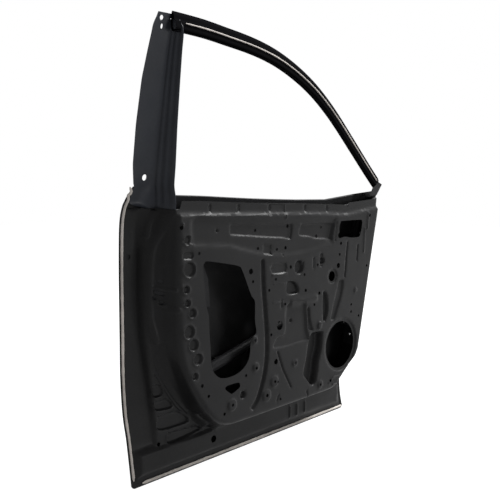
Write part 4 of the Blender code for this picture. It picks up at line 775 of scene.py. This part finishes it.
def wall_hole(height, y, half_height, half_depth):
    """A hole in the hinge wall, round as seen along the wall, drawn in plan."""
    loop = []
    for k in range(20):
        turn = 2 * math.pi * (k + 0.5) / 20
        z = height + half_height * math.sin(turn)
        loop.append((hinge_wall_x(y + half_depth * math.cos(turn), z), z))
    return loop

panel_holes = [
    drawn(access_hole_shares, 0.005, True), drawn(hex_hole_shares, 0.004, True),
    drawn(mirror_hole_shares, 0.004, True), round_loop(speaker_place_shares, speaker_hole_radius, 110),
    spots(striker_slot_shares),
]
for radius, places in punched_holes:
    panel_holes += [round_loop(place, radius / 1000, 20) for place in places]
wall_bolts = [(h * door_height, trim_face_y * (1 - d)) for h, d in hinge_bolt_shares + check_nut_shares]
check_place = (check_slot_share * door_height, trim_face_y * (1 - check_nut_shares[0][1]))
panel_holes += [wall_hole(z, y, hinge_bolt_radius, hinge_bolt_radius) for z, y in wall_bolts]
panel_holes.append(wall_hole(*check_place, check_slot_height / 2, check_slot_depth / 2))

# Points kept where the sheet bends, cells between points on flats, and the room left along cut edges
curve_points = 33000
flat_step = 4
rim_room = 0.0012
hole_room = 0.0009


def panel_lattice():
    """Plan points: a coarse lattice on flats, and the raster's own cells wherever the sheet bends."""
    bend = np.zeros(raster_size)
    bend[1:-1] += np.abs(panel_raster[2:] + panel_raster[:-2] - 2 * panel_raster[1:-1])
    bend[:, 1:-1] += np.abs(panel_raster[:, 2:] + panel_raster[:, :-2] - 2 * panel_raster[:, 1:-1])
    i, j = np.meshgrid(np.arange(raster_size[0]), np.arange(raster_size[1]), indexing="ij")
    coarse = (i % flat_step == 0) & (j % flat_step == 0)
    x = raster_low[0] + i * raster_step
    z = raster_low[1] + j * raster_step
    within, near = inside_loop(x, z, panel_edge)
    free = within & (near > rim_room)
    for hole in panel_holes:
        low = (np.min(hole, axis=0) - raster_low) / raster_step - 2
        high = (np.max(hole, axis=0) - raster_low) / raster_step + 3
        part = (slice(int(low[0]), int(high[0])), slice(int(low[1]), int(high[1])))
        in_hole, hole_near = inside_loop(x[part], z[part], hole)
        free[part] &= ~in_hole & (hole_near > hole_room)
    bend[~free] = 0
    limit = np.sort(bend.ravel())[-curve_points]
    chosen = free & (coarse | (bend > limit))
    return list(zip(x[chosen], z[chosen]))


inner_panel = make_piece("drawn_inner_panel", *plan_mesh(panel_edge, panel_holes, panel_lattice(), panel_level),
                         primer, panel_gauge)
stand_in(inner_panel, "inner_panel")


# OUTER SKIN. The outside of the door: 0.8 mm steel in the same primer, crowned like the body side, with the
# handle cup pressed in. Its rear, bottom and front edges are folded over the inner panel's flange in a hemming die.
fold_radius = skin_gauge + seat_gap + panel_gauge / 2
fold_top_share = 0.970
handle_place_shares = (155, 775)
handle_cup_length = 0.110
handle_cup_height = 0.056
handle_spread = 0.072
cup_depth = 0.014
cup_wall = 0.016
skin_grid = 0.014

belt_edge = drawn(belt_edge_shares, 0.012)
skin_side = shift_line(door_path, -fold_radius)
skin_outline = skin_side + belt_edge[1:-1]
handle_x, handle_z = spots([handle_place_shares])[0]
cup_line = [(handle_x - handle_cup_length / 4, handle_z), (handle_x + handle_cup_length / 4, handle_z)]
cup_loop = capsule_loop(cup_line, handle_cup_height, 24)
handle_holes = [arc_loop(handle_x - handle_spread, handle_z, 0.013, 0.009, 24),
                arc_loop(handle_x + handle_spread, handle_z, 0.009, 0.009, 24)]


def skin_level(x, z):
    """Y of the outer skin with the handle cup pressed in."""
    within, near = inside_loop(x, z, cup_loop)
    share = np.clip(near / cup_wall, 0, 1)
    return body_side(x, z) - np.where(within, cup_depth * share * share * (3 - 2 * share), 0)


def skin_lattice():
    """Plan points: even over the crown, close together round the handle cup."""
    x, z = [a.ravel() for a in np.meshgrid(np.arange(0, door_length, skin_grid / 4),
                                           np.arange(0, door_height, skin_grid / 4), indexing="ij")]
    within, near = inside_loop(x, z, cup_loop)
    i = np.rint(x / (skin_grid / 4)).astype(int)
    j = np.rint(z / (skin_grid / 4)).astype(int)
    chosen = ((i % 4 == 0) & (j % 4 == 0)) | (within & (near < 1.4 * cup_wall))
    x = x[chosen]
    z = z[chosen]
    within, near = inside_loop(x, z, skin_outline)
    free = within & (near > 0.002)
    for hole in handle_holes:
        in_hole, hole_near = inside_loop(x, z, hole)
        free &= ~in_hole & (hole_near > 0.001)
    return list(zip(x[free], z[free]))


def add_row(places, points):
    """Adds points to the places and gives their numbers."""
    places.extend(points)
    return list(range(len(places) - len(points), len(places)))


def folded_skin():
    """The skin's outer face, then the rolled edge and its return on the cabin side."""
    places, faces = plan_mesh(skin_outline, handle_holes, skin_lattice(), skin_level)
    faces = [face[::-1] for face in faces]
    places = [tuple(p) for p in places]
    plan = np.array([(p[0], p[2]) for p in places])
    folded = [k for k, p in enumerate(skin_side)
              if p[0] > door_length / 2 or p[1] < fold_top_share * door_height]
    rows = [[int(np.abs(plan - skin_side[k]).sum(axis=1).argmin()) for k in folded]]
    outward = shift_line(skin_side, fold_radius)
    for turn in range(70, -91, -20):
        reach = math.cos(math.radians(turn))
        drop = fold_radius * (1 - math.sin(math.radians(turn)))
        rows.append(add_row(places, [
            (x + (far_x - x) * reach, body_side(x, z) - drop, z + (far_z - z) * reach)
            for (x, z), (far_x, far_z) in [(skin_side[k], outward[k]) for k in folded]]))
    for share in (0.5, 1.0):
        inward = shift_line(skin_side, -(hem_width - fold_radius) * share)
        rows.append(add_row(places, [(x, body_side(x, z) - 2 * fold_radius, z)
                                     for x, z in [inward[k] for k in folded]]))
    for near, far in zip(rows, rows[1:]):
        for k in range(len(near) - 1):
            faces.append((near[k + 1], near[k], far[k], far[k + 1]))
    return make_piece("hemmed_outer_skin", places, faces, primer, skin_gauge)


stand_in(folded_skin(), "outer_skin")


# REAR UPRIGHT OF THE WINDOW FRAME. Two rolled sections welded back to back: the inner one has the flat weather
# strip flange, three stepped ridges and the run for the glass seal, and dives behind the inner panel.
frame_gauge = 0.0010
sash_height_shares = [
    0.566, 0.585, 0.6042, 0.611, 0.6319, 0.6509, 0.695, 0.777, 0.867, 0.924, 0.956, 0.970, 0.984,
]
sash_edge_shares = [
    0.058, 0.058, 0.058, 0.0186, 0.0268, 0.0318, 0.0198, 0.0101, 0.0057, 0.0094, 0.0122, 0.0125, 0.0187,
]
sash_root_shares = [0.0838, 0.0838, 0.0838, 0.0790, 0.0716, 0.0645, 0.0608, 0.0600, 0.0600, 0.0600]
sash_window_shares = [0.1050, 0.1067, 0.1076, 0.1040, 0.0940, 0.0840, 0.0780, 0.0757, 0.0752, 0.0748]
sash_root_depths = [0.020, 0.0138, 0.006, 0.005, 0.004, 0.003, 0.002, 0.002, 0.002, 0.001]
sash_box_depths = [0.064, 0.060, 0.056, 0.053, 0.046, 0.040, 0.037, 0.035, 0.028, 0.012]
sash_profile_shares = [
    (0.00, 0.00), (0.14, 0.24), (0.34, 0.30), (0.46, 0.56), (0.66, 0.63), (0.78, 0.92),
    (0.92, 1.00), (1.00, 0.96),
]
tab_foot_share = 0.9855
tab_top_share = 0.994
tab_edge_shares = [(0.984, 0.0187), (0.994, 0.0215)]
tab_root_share = 0.0605
sash_lip = 0.004
sash_set = 0.0034
sash_return = 0.014
frame_color = (0.023, 0.026, 0.034)
frame_black = coated_steel("frame black", frame_color, 0.40, 0.5, 0.20)


def jamb_profile(z):
    """The jamb's cabin-side line at a height, from its seal floor to its deep corner."""
    line = []
    for shares in (seal_outer_shares, seal_inner_shares, crease_shares, round_line_shares):
        places = sorted((z, x) for x, z in spots(shares))
        line.append(np.interp(z, [p[0] for p in places], [p[1] for p in places]))
    line.append(line[-1] + 2 * sash_lip)
    return list(zip(line, [seal_floor_y, seal_land_y, crease_y, corner_round_y, belt_flange_y]))


def split_line(line, counts):
    """A line whose runs are each cut into a number of equal steps."""
    points = []
    for a, b, count in zip(line, line[1:], counts):
        points += [(a[0] + (b[0] - a[0]) * k / count, a[1] + (b[1] - a[1]) * k / count) for k in range(count)]
    return points + [line[-1]]


def sash_rows():
    """Rows of the inner upright, bottom to top: flange edge, flange, stepped wall, return."""
    rows = []
    tail_rows = len(sash_height_shares) - len(sash_root_shares)
    for k, height in enumerate(sash_height_shares):
        z = height * frame_height
        if k < tail_rows:
            behind = shift_line(jamb_profile(z), sash_set)
            rows.append([(x, y, z) for x, y in split_line(behind, (3, 2, 3, 3))])
            continue
        edge = sash_edge_shares[k] * door_length
        root = sash_root_shares[k - tail_rows] * door_length
        window = sash_window_shares[k - tail_rows] * door_length
        root_y = hem_seat(root, z) - sash_root_depths[k - tail_rows]
        depth = sash_box_depths[k - tail_rows]
        inboard = strip_set if z < door_height else 0
        row = [(x, hem_seat(x, z) - inboard, z) for x in (edge, edge + (root - edge) * 0.55)]
        row += [(root + (window - root) * across, root_y - depth * down, z) for across, down in sash_profile_shares]
        row.append((window + sash_lip, root_y - depth * 0.80, z))
        row.append((window + 2 * sash_lip, root_y - depth * 0.45, z))
        rows.append(row)
    return rows


def rolled(rows, step, soften, cuts):
    """Close rows between the given ones, softened along the run, with the section's corners rounded."""
    rows = np.array(rows, float)
    middle = rows.mean(axis=1)
    reach = np.concatenate([[0], np.cumsum(np.linalg.norm(np.diff(middle, axis=0), axis=1))])
    places = np.linspace(0, reach[-1], round(reach[-1] / step) + 1)
    fine = np.stack([[np.interp(places, reach, rows[:, c, a]) for a in range(3)] for c in range(rows.shape[1])])
    fine = fine.transpose(2, 0, 1)
    for _ in range(soften):
        fine[1:-1] = (fine[:-2] + 2 * fine[1:-1] + fine[2:]) / 4
    for _ in range(cuts):
        ahead = fine[:, :-1] * 0.75 + fine[:, 1:] * 0.25
        behind = fine[:, :-1] * 0.25 + fine[:, 1:] * 0.75
        inner = np.stack([ahead, behind], axis=2).reshape(len(fine), -1, 3)[:, 1:-1]
        fine = np.concatenate([fine[:, :1], inner, fine[:, -1:]], axis=1)
    return fine


def row_faces(rows, columns):
    """Quads of a grid of points."""
    return [(r * columns + c, r * columns + c + 1, (r + 1) * columns + c + 1, (r + 1) * columns + c)
            for r in range(rows - 1) for c in range(columns - 1)]


def swept(name, rows, step, soften, cuts, material, gauge, side=-1):
    """A sheet rolled through rows of points."""
    fine = rolled(rows, step, soften, cuts)
    return make_piece(name, [tuple(p) for row in fine for p in row], row_faces(*fine.shape[:2]),
                      material, gauge, side)


def face_outward(item):
    """Turns every face of a closed body outward."""
    body = bmesh.new()
    body.from_mesh(item.data)
    bmesh.ops.recalc_face_normals(body, faces=body.faces)
    body.to_mesh(item.data)
    body.free()


def punch(item, x, y, z, radius_x, radius_z):
    """Punches a round or long hole through a sheet along Y."""
    ring = arc_loop(x, z, radius_x, radius_z, 24)
    places = [(a, y + reach, b) for reach in (-edge_corner, edge_corner) for a, b in ring]
    sides = [(k, (k + 1) % 24, (k + 1) % 24 + 24, k + 24) for k in range(24)]
    cutter = make_piece("punch", places, sides + [tuple(range(24))[::-1], tuple(range(24, 48))], primer)
    face_outward(cutter)
    cut = item.modifiers.new("hole", "BOOLEAN")
    cut.operation = "DIFFERENCE"
    cut.solver = "EXACT"
    cut.object = cutter
    bpy.context.view_layer.update()
    done = bpy.data.meshes.new_from_object(item.evaluated_get(bpy.context.evaluated_depsgraph_get()))
    item.modifiers.clear()
    item.data = done
    bpy.data.objects.remove(cutter)


# Punched through both halves: place, and radii along X and Z
upright_holes = [(0.0655, 0.818, 0.0070, 0.0080), (0.0370, 1.2035, 0.0055, 0.0055), (0.0415, 1.184, 0.0033, 0.0060)]


def upright_inner():
    """The inner upright with its flange carried on up as the top tab."""
    fine = rolled(sash_rows(), 0.005, 3, 3)
    rows, columns = fine.shape[:2]
    places = [tuple(p) for row in fine for p in row]
    faces = row_faces(rows, columns)
    flange = 12
    low = list(range((rows - 1) * columns, (rows - 1) * columns + flange))
    for height in np.linspace(tab_foot_share, tab_top_share, 6):
        z = height * frame_height
        edge = door_length * np.interp(height, *zip(*tab_edge_shares))
        inner = door_length * tab_root_share
        start, end = places[low[0]][0], places[low[-1]][0]
        across = [edge + (inner - edge) * ((places[k][0] - start) / (end - start)) for k in low]
        row = add_row(places, [(x, hem_seat(x, z), z) for x in across])
        faces += [(low[c], low[c + 1], row[c + 1], row[c]) for c in range(flange - 1)]
        low = row
    item = make_piece("rolled_upright_inner", places, faces, frame_black, frame_gauge)
    for x, z, radius_x, radius_z in upright_holes:
        punch(item, x, hem_seat(x, z), z, radius_x, radius_z)
    return item


def upright_outer():
    """The outboard half of the upright: flat face, lip to the glass side."""
    heights = [h * frame_height for h in sash_height_shares]
    low = len(heights) - len(sash_window_shares)
    rows = []
    for z in [door_height + seat_gap] + [h for h in heights if h > door_height]:
        edge = door_length * np.interp(z, heights, sash_edge_shares) + panel_gauge
        window = door_length * np.interp(z, heights[low:], sash_window_shares) + 3 * sash_lip
        across = [edge, (edge + window) / 2, window, window + sash_lip / 4]
        row = [(x, body_side(x, z), z) for x in across]
        row[-1] = (row[-1][0], row[-1][1] - sash_return, z)
        rows.append(row[::-1])
    item = swept("rolled_upright_outer", rows, 0.008, 2, 3, frame_black, skin_gauge)
    for x, z, radius_x, radius_z in upright_holes:
        punch(item, x + seat_gap + panel_gauge, body_side(x, z), z,
              radius_x + panel_gauge, radius_z + panel_gauge)
    return item


stand_in(upright_inner(), "rear_sash_inner")
stand_in(upright_outer(), "rear_sash_outer")


# TOP OF THE WINDOW FRAME. One rolled section that follows the roof rail and runs down the screen pillar, with a
# thin outer cover; a pale bead in the groove between its two ridges is a painted highlight along the ridge, and its
# edge lip carries the weather seal.
header_edge_shares = [
    (0.0585, 1.000), (0.146, 0.9965), (0.233, 0.9886), (0.321, 0.979), (0.409, 0.963), (0.501, 0.936),
    (0.598, 0.897), (0.701, 0.842), (0.810, 0.7735), (0.919, 0.703), (0.985, 0.661),
]
header_depth = 0.042
header_band = 0.021
header_groove = 0.009
header_rise = 0.018
header_step = 0.006
header_lip = 0.004
header_corners = smooth([(x * door_length, z * frame_height) for x, z in header_edge_shares], 0.060)
header_line = smooth(header_corners, 0.010)


def header_section(name, profile, gauge, side):
    """A rolled section swept along the header; profile points are (inward, outboard of body side)."""
    lines = [shift_line(header_line, -reach) for reach, _ in profile]
    rows = []
    for k, place in enumerate(header_line):
        edge_y = body_side(*place)
        rows.append([(line[k][0], edge_y + push, line[k][1]) for (_, push), line in zip(profile, lines)])
    return swept(name, rows, 0.007, 2, 3, header_shaded_paint, gauge, side)


# The header's paint is the frame paint darkened far below its own tone: painted shade where the lamps light the
# header's top.
header_shaded_paint = coated_steel("header paint, painted shade", (0.009, 0.009, 0.010), 0.55, 0.2, 0.0)
under = -(skin_gauge + seat_gap + frame_gauge)
inner_profile = [
    (0, under), (header_lip, under - header_step / 4), (2 * header_lip, under - header_step),
    (header_band, under - header_step - header_step / 4),
    (header_band + header_groove / 3, under - header_rise * 0.72),
    (header_band + header_groove, under - header_rise * 0.80),
    (header_depth, under - header_rise), (header_depth + header_lip, under - header_rise * 0.86),
    (header_depth + header_lip, under - header_rise * 0.2),
]
outer_profile = [
    (header_lip / 2, 0), (header_depth / 2, header_lip / 4), (header_depth + 2 * header_lip, header_lip / 4),
    (header_depth + 2 * header_lip, -header_rise),
]
stand_in(header_section("rolled_header_inner", inner_profile, frame_gauge, -1), "header_inner")
stand_in(header_section("rolled_header_outer", outer_profile, skin_gauge, 1), "header_outer")


# SEAM SEALER. A pale beige paste, gunned over the hem's raw edge after welding, then smoothed by hand; it cures
# matt and slightly lumpy, and keeps water out of the folded seams. A thin bead of the same paste in the header's
# groove is a painted highlight: its pale colour stands in for the light reflected along the header's ridge.
bead_radius = 0.0022
rear_bead_width = 0.0044
sill_bead_width = 0.0042
highlight_bead_width = 0.0018
bead_inset = 0.0010
dab_depth = 0.0045
sealer_color = (0.90, 0.84, 0.78)


def sealer_paste(name, color):
    """Matt cured paste with brush streaks and small shifts of tone."""
    material = coated_steel(name, color, 0.62)
    bump = next(n for n in material.node_tree.nodes if n.type == "BUMP")
    bump.inputs["Strength"].default_value = 0.5
    bump.inputs["Distance"].default_value = 0.0008
    bump.inputs["Height"].links[0].from_node.inputs["Scale"].default_value = 260
    return material


paste = sealer_paste("seam sealer", sealer_color)


def bead(name, path, wide, high, sides=10):
    """A hand-laid bead along points: flattened, with its width wandering a little."""
    places = []
    faces = []
    for k, point in enumerate(path):
        here = Vector(point)
        ahead = Vector(path[min(k + 1, len(path) - 1)]) - Vector(path[max(k - 1, 0)])
        across = ahead.cross(Vector((0, 1, 0))).normalized()
        up = across.cross(ahead).normalized()
        swell = 1 + 0.22 * noise.noise(here * 60) + 0.12 * noise.noise(here * 210)
        tip = 0.35 if k in (0, len(path) - 1) else 1.0
        for n in range(sides):
            turn = 2 * math.pi * n / sides
            places.append(here + across * math.cos(turn) * wide * swell * tip + up * math.sin(turn) * high * tip)
    for k in range(len(path) - 1):
        for n in range(sides):
            m = (n + 1) % sides
            faces.append((k * sides + n, k * sides + m, (k + 1) * sides + m, (k + 1) * sides + n))
    faces += [tuple(range(sides))[::-1], tuple((len(path) - 1) * sides + n for n in range(sides))]
    item = make_piece(name, places, faces, paste)
    face_outward(item)
    return item


def hem_bead(name, path, wide, dab=()):
    """A bead over the hem's inner edge, which may run on into a dab."""
    inner = shift_line(path, -(hem_width - fold_radius - bead_inset))
    levels = panel_level(np.array([p[0] for p in inner]), np.array([p[1] for p in inner]))
    points = [(x, level - bead_radius, z) for (x, z), level in zip(inner, levels)]
    points += [(x, body_side(x, z) - dab_depth, z) for x, z in dab]
    return bead(name, points, wide, bead_radius)


bottom = [k for k, p in enumerate(skin_side) if p[1] < edge_corner]
rear_stretch = [p for p in skin_side[bottom[-1] + 1:] if 0.02 < p[1] < 0.765]
rear_dab = metres([(21, 773), (28, 778), (30, 783), (26, 788), (22.5, 794)])
stand_in(hem_bead("hem_sealer_rear", rear_stretch, rear_bead_width, rear_dab), "rear_hem_sealer")
sill_stretch = skin_side[bottom[0] + 4:bottom[-1] - 10]
stand_in(hem_bead("hem_sealer_sill", sill_stretch, sill_bead_width), "sill_hem_sealer")
# The header's bead is a painted highlight: pale paste laid where the header's ridge shows a reflection of light.
groove_line = shift_line(header_line, -(header_band + header_groove * 0.72))
bead_path = []
for k in range(3, len(header_line) - 3):
    x, z = groove_line[k]
    level = body_side(*header_line[k]) + under - header_rise * 0.78 - bead_radius - seat_gap
    bead_path.append((x, level, z))
stand_in(bead("header_joint_sealer", bead_path, highlight_bead_width, bead_radius), "header_sealer")


# STIFFENERS, BEAM, CHANNELS AND NUTS. Plates spot-welded behind the hinge wall, jamb and belt, a tube beam under
# the skin on two brackets, rolled glass runs and weld nuts: all dipped in the same primer as the shell.
beam_steel = coated_steel("beam primer", (0.036, 0.036, 0.038), 0.42)
mastic = coated_steel("beam mastic", (0.045, 0.045, 0.045), 0.80, 4.0)
nut_steel = coated_steel("nut primer", (0.046, 0.046, 0.048), 0.38)
hidden_finishes = {"mastic": mastic, "nut_steel": nut_steel, "dark_primer": beam_steel, "frame_black": frame_black}
for subpart in frame["record"]["subparts"]:
    node = frame["nodes"][subpart["node"]]
    if subpart["node"] not in replaced:
        node.data.materials.clear()
        node.data.materials.append(hidden_finishes[subpart["material_slot"]])


# STUDIO. A plain pale floor, a far lamp high on the door's front side, a weaker one facing its cabin side, a faint
# one outside it, and a camera at the photograph's angle. Floor and backdrop are white to the camera.
def to_camera(nodes, link):
    """1 for rays that show the background: seen directly, in gloss, or through glass."""
    path = nodes.new("ShaderNodeLightPath")
    share = path.outputs["Is Camera Ray"]
    for ray in ("Is Glossy Ray", "Is Transmission Ray"):
        either = add_node(nodes, "Math", operation="ADD")
        either.use_clamp = True
        link(share, either.inputs[0])
        link(path.outputs[ray], either.inputs[1])
        share = either.outputs[0]
    return share


plain_white = (1, 1, 1, 1)
world_fill = 0.05
floor_tone = (0.25, 0.25, 0.25, 1)
floor_white = 0.97
world = bpy.data.worlds.new("studio")
bpy.context.scene.world = world
world.use_nodes = True
nodes = world.node_tree.nodes
link = world.node_tree.links.new
fill = nodes["Background"]
fill.inputs["Color"].default_value = plain_white
fill.inputs["Strength"].default_value = world_fill
backdrop = add_node(nodes, "Background", {"Color": plain_white, "Strength": 1.0})
choice = nodes.new("ShaderNodeMixShader")
for source, place in ((to_camera(nodes, link), 0), (fill.outputs[0], 1), (backdrop.outputs[0], 2)):
    link(source, choice.inputs[place])
link(choice.outputs[0], nodes["World Output"].inputs["Surface"])

floor_half = 9
floor_z = -0.0006
floor_mesh = bpy.data.meshes.new("studio_floor")
floor_mesh.from_pydata([(x * floor_half, y * floor_half, floor_z) for x, y in ((-1, -1), (1, -1), (1, 1), (-1, 1))],
                       [], [(0, 1, 2, 3)])
floor = placed("studio_floor", floor_mesh)
pale = bpy.data.materials.new("pale floor")
pale.use_nodes = True
nodes = pale.node_tree.nodes
link = pale.node_tree.links.new
shader = nodes["Principled BSDF"]
for name, value in (("Base Color", floor_tone), ("Roughness", 0.9), ("Specular IOR Level", 0.0),
                    ("Emission Color", plain_white)):
    shader.inputs[name].default_value = value
lift = add_node(nodes, "Math", operation="MULTIPLY")
lift.inputs[1].default_value = floor_white
link(to_camera(nodes, link), lift.inputs[0])
link(lift.outputs[0], shader.inputs["Emission Strength"])
floor_mesh.materials.append(pale)

# Lamps: name, place, width in metres, power in watts
aim = Vector((0, 0, 0.5))
for name, place, size, power in (("over", (6.0, -1.25, 6.5), 2.8, 1250), ("front", (1.2, -3.7, 1.1), 1.2, 36),
                                 ("outside", (-0.6, 3.2, 2.4), 2.0, 60)):
    lamp_data = bpy.data.lights.new(name, "AREA")
    lamp_data.energy = power
    lamp_data.size = size
    lamp = placed(name, lamp_data)
    lamp.location = place
    lamp.rotation_mode = "QUATERNION"
    lamp.rotation_quaternion = (aim - Vector(place)).to_track_quat("-Z", "Y")

camera_data = bpy.data.cameras.new("camera")
camera_data.lens = 55.07
camera_data.sensor_width = 36
camera = placed("camera", camera_data)
turn, rise, roll = (math.radians(a) for a in (-48.209, 5.952, 0.091))
back = Vector((math.sin(turn) * math.cos(rise), -math.cos(turn) * math.cos(rise), math.sin(rise)))
camera.location = (-1.79687, -1.4705, 0.837)
camera.rotation_mode = "QUATERNION"
camera.rotation_quaternion = (-back).to_track_quat("-Z", "Y") @ Quaternion((0, 0, 1), roll)
bpy.context.scene.camera = camera
bpy.context.scene.view_settings.view_transform = "Standard"
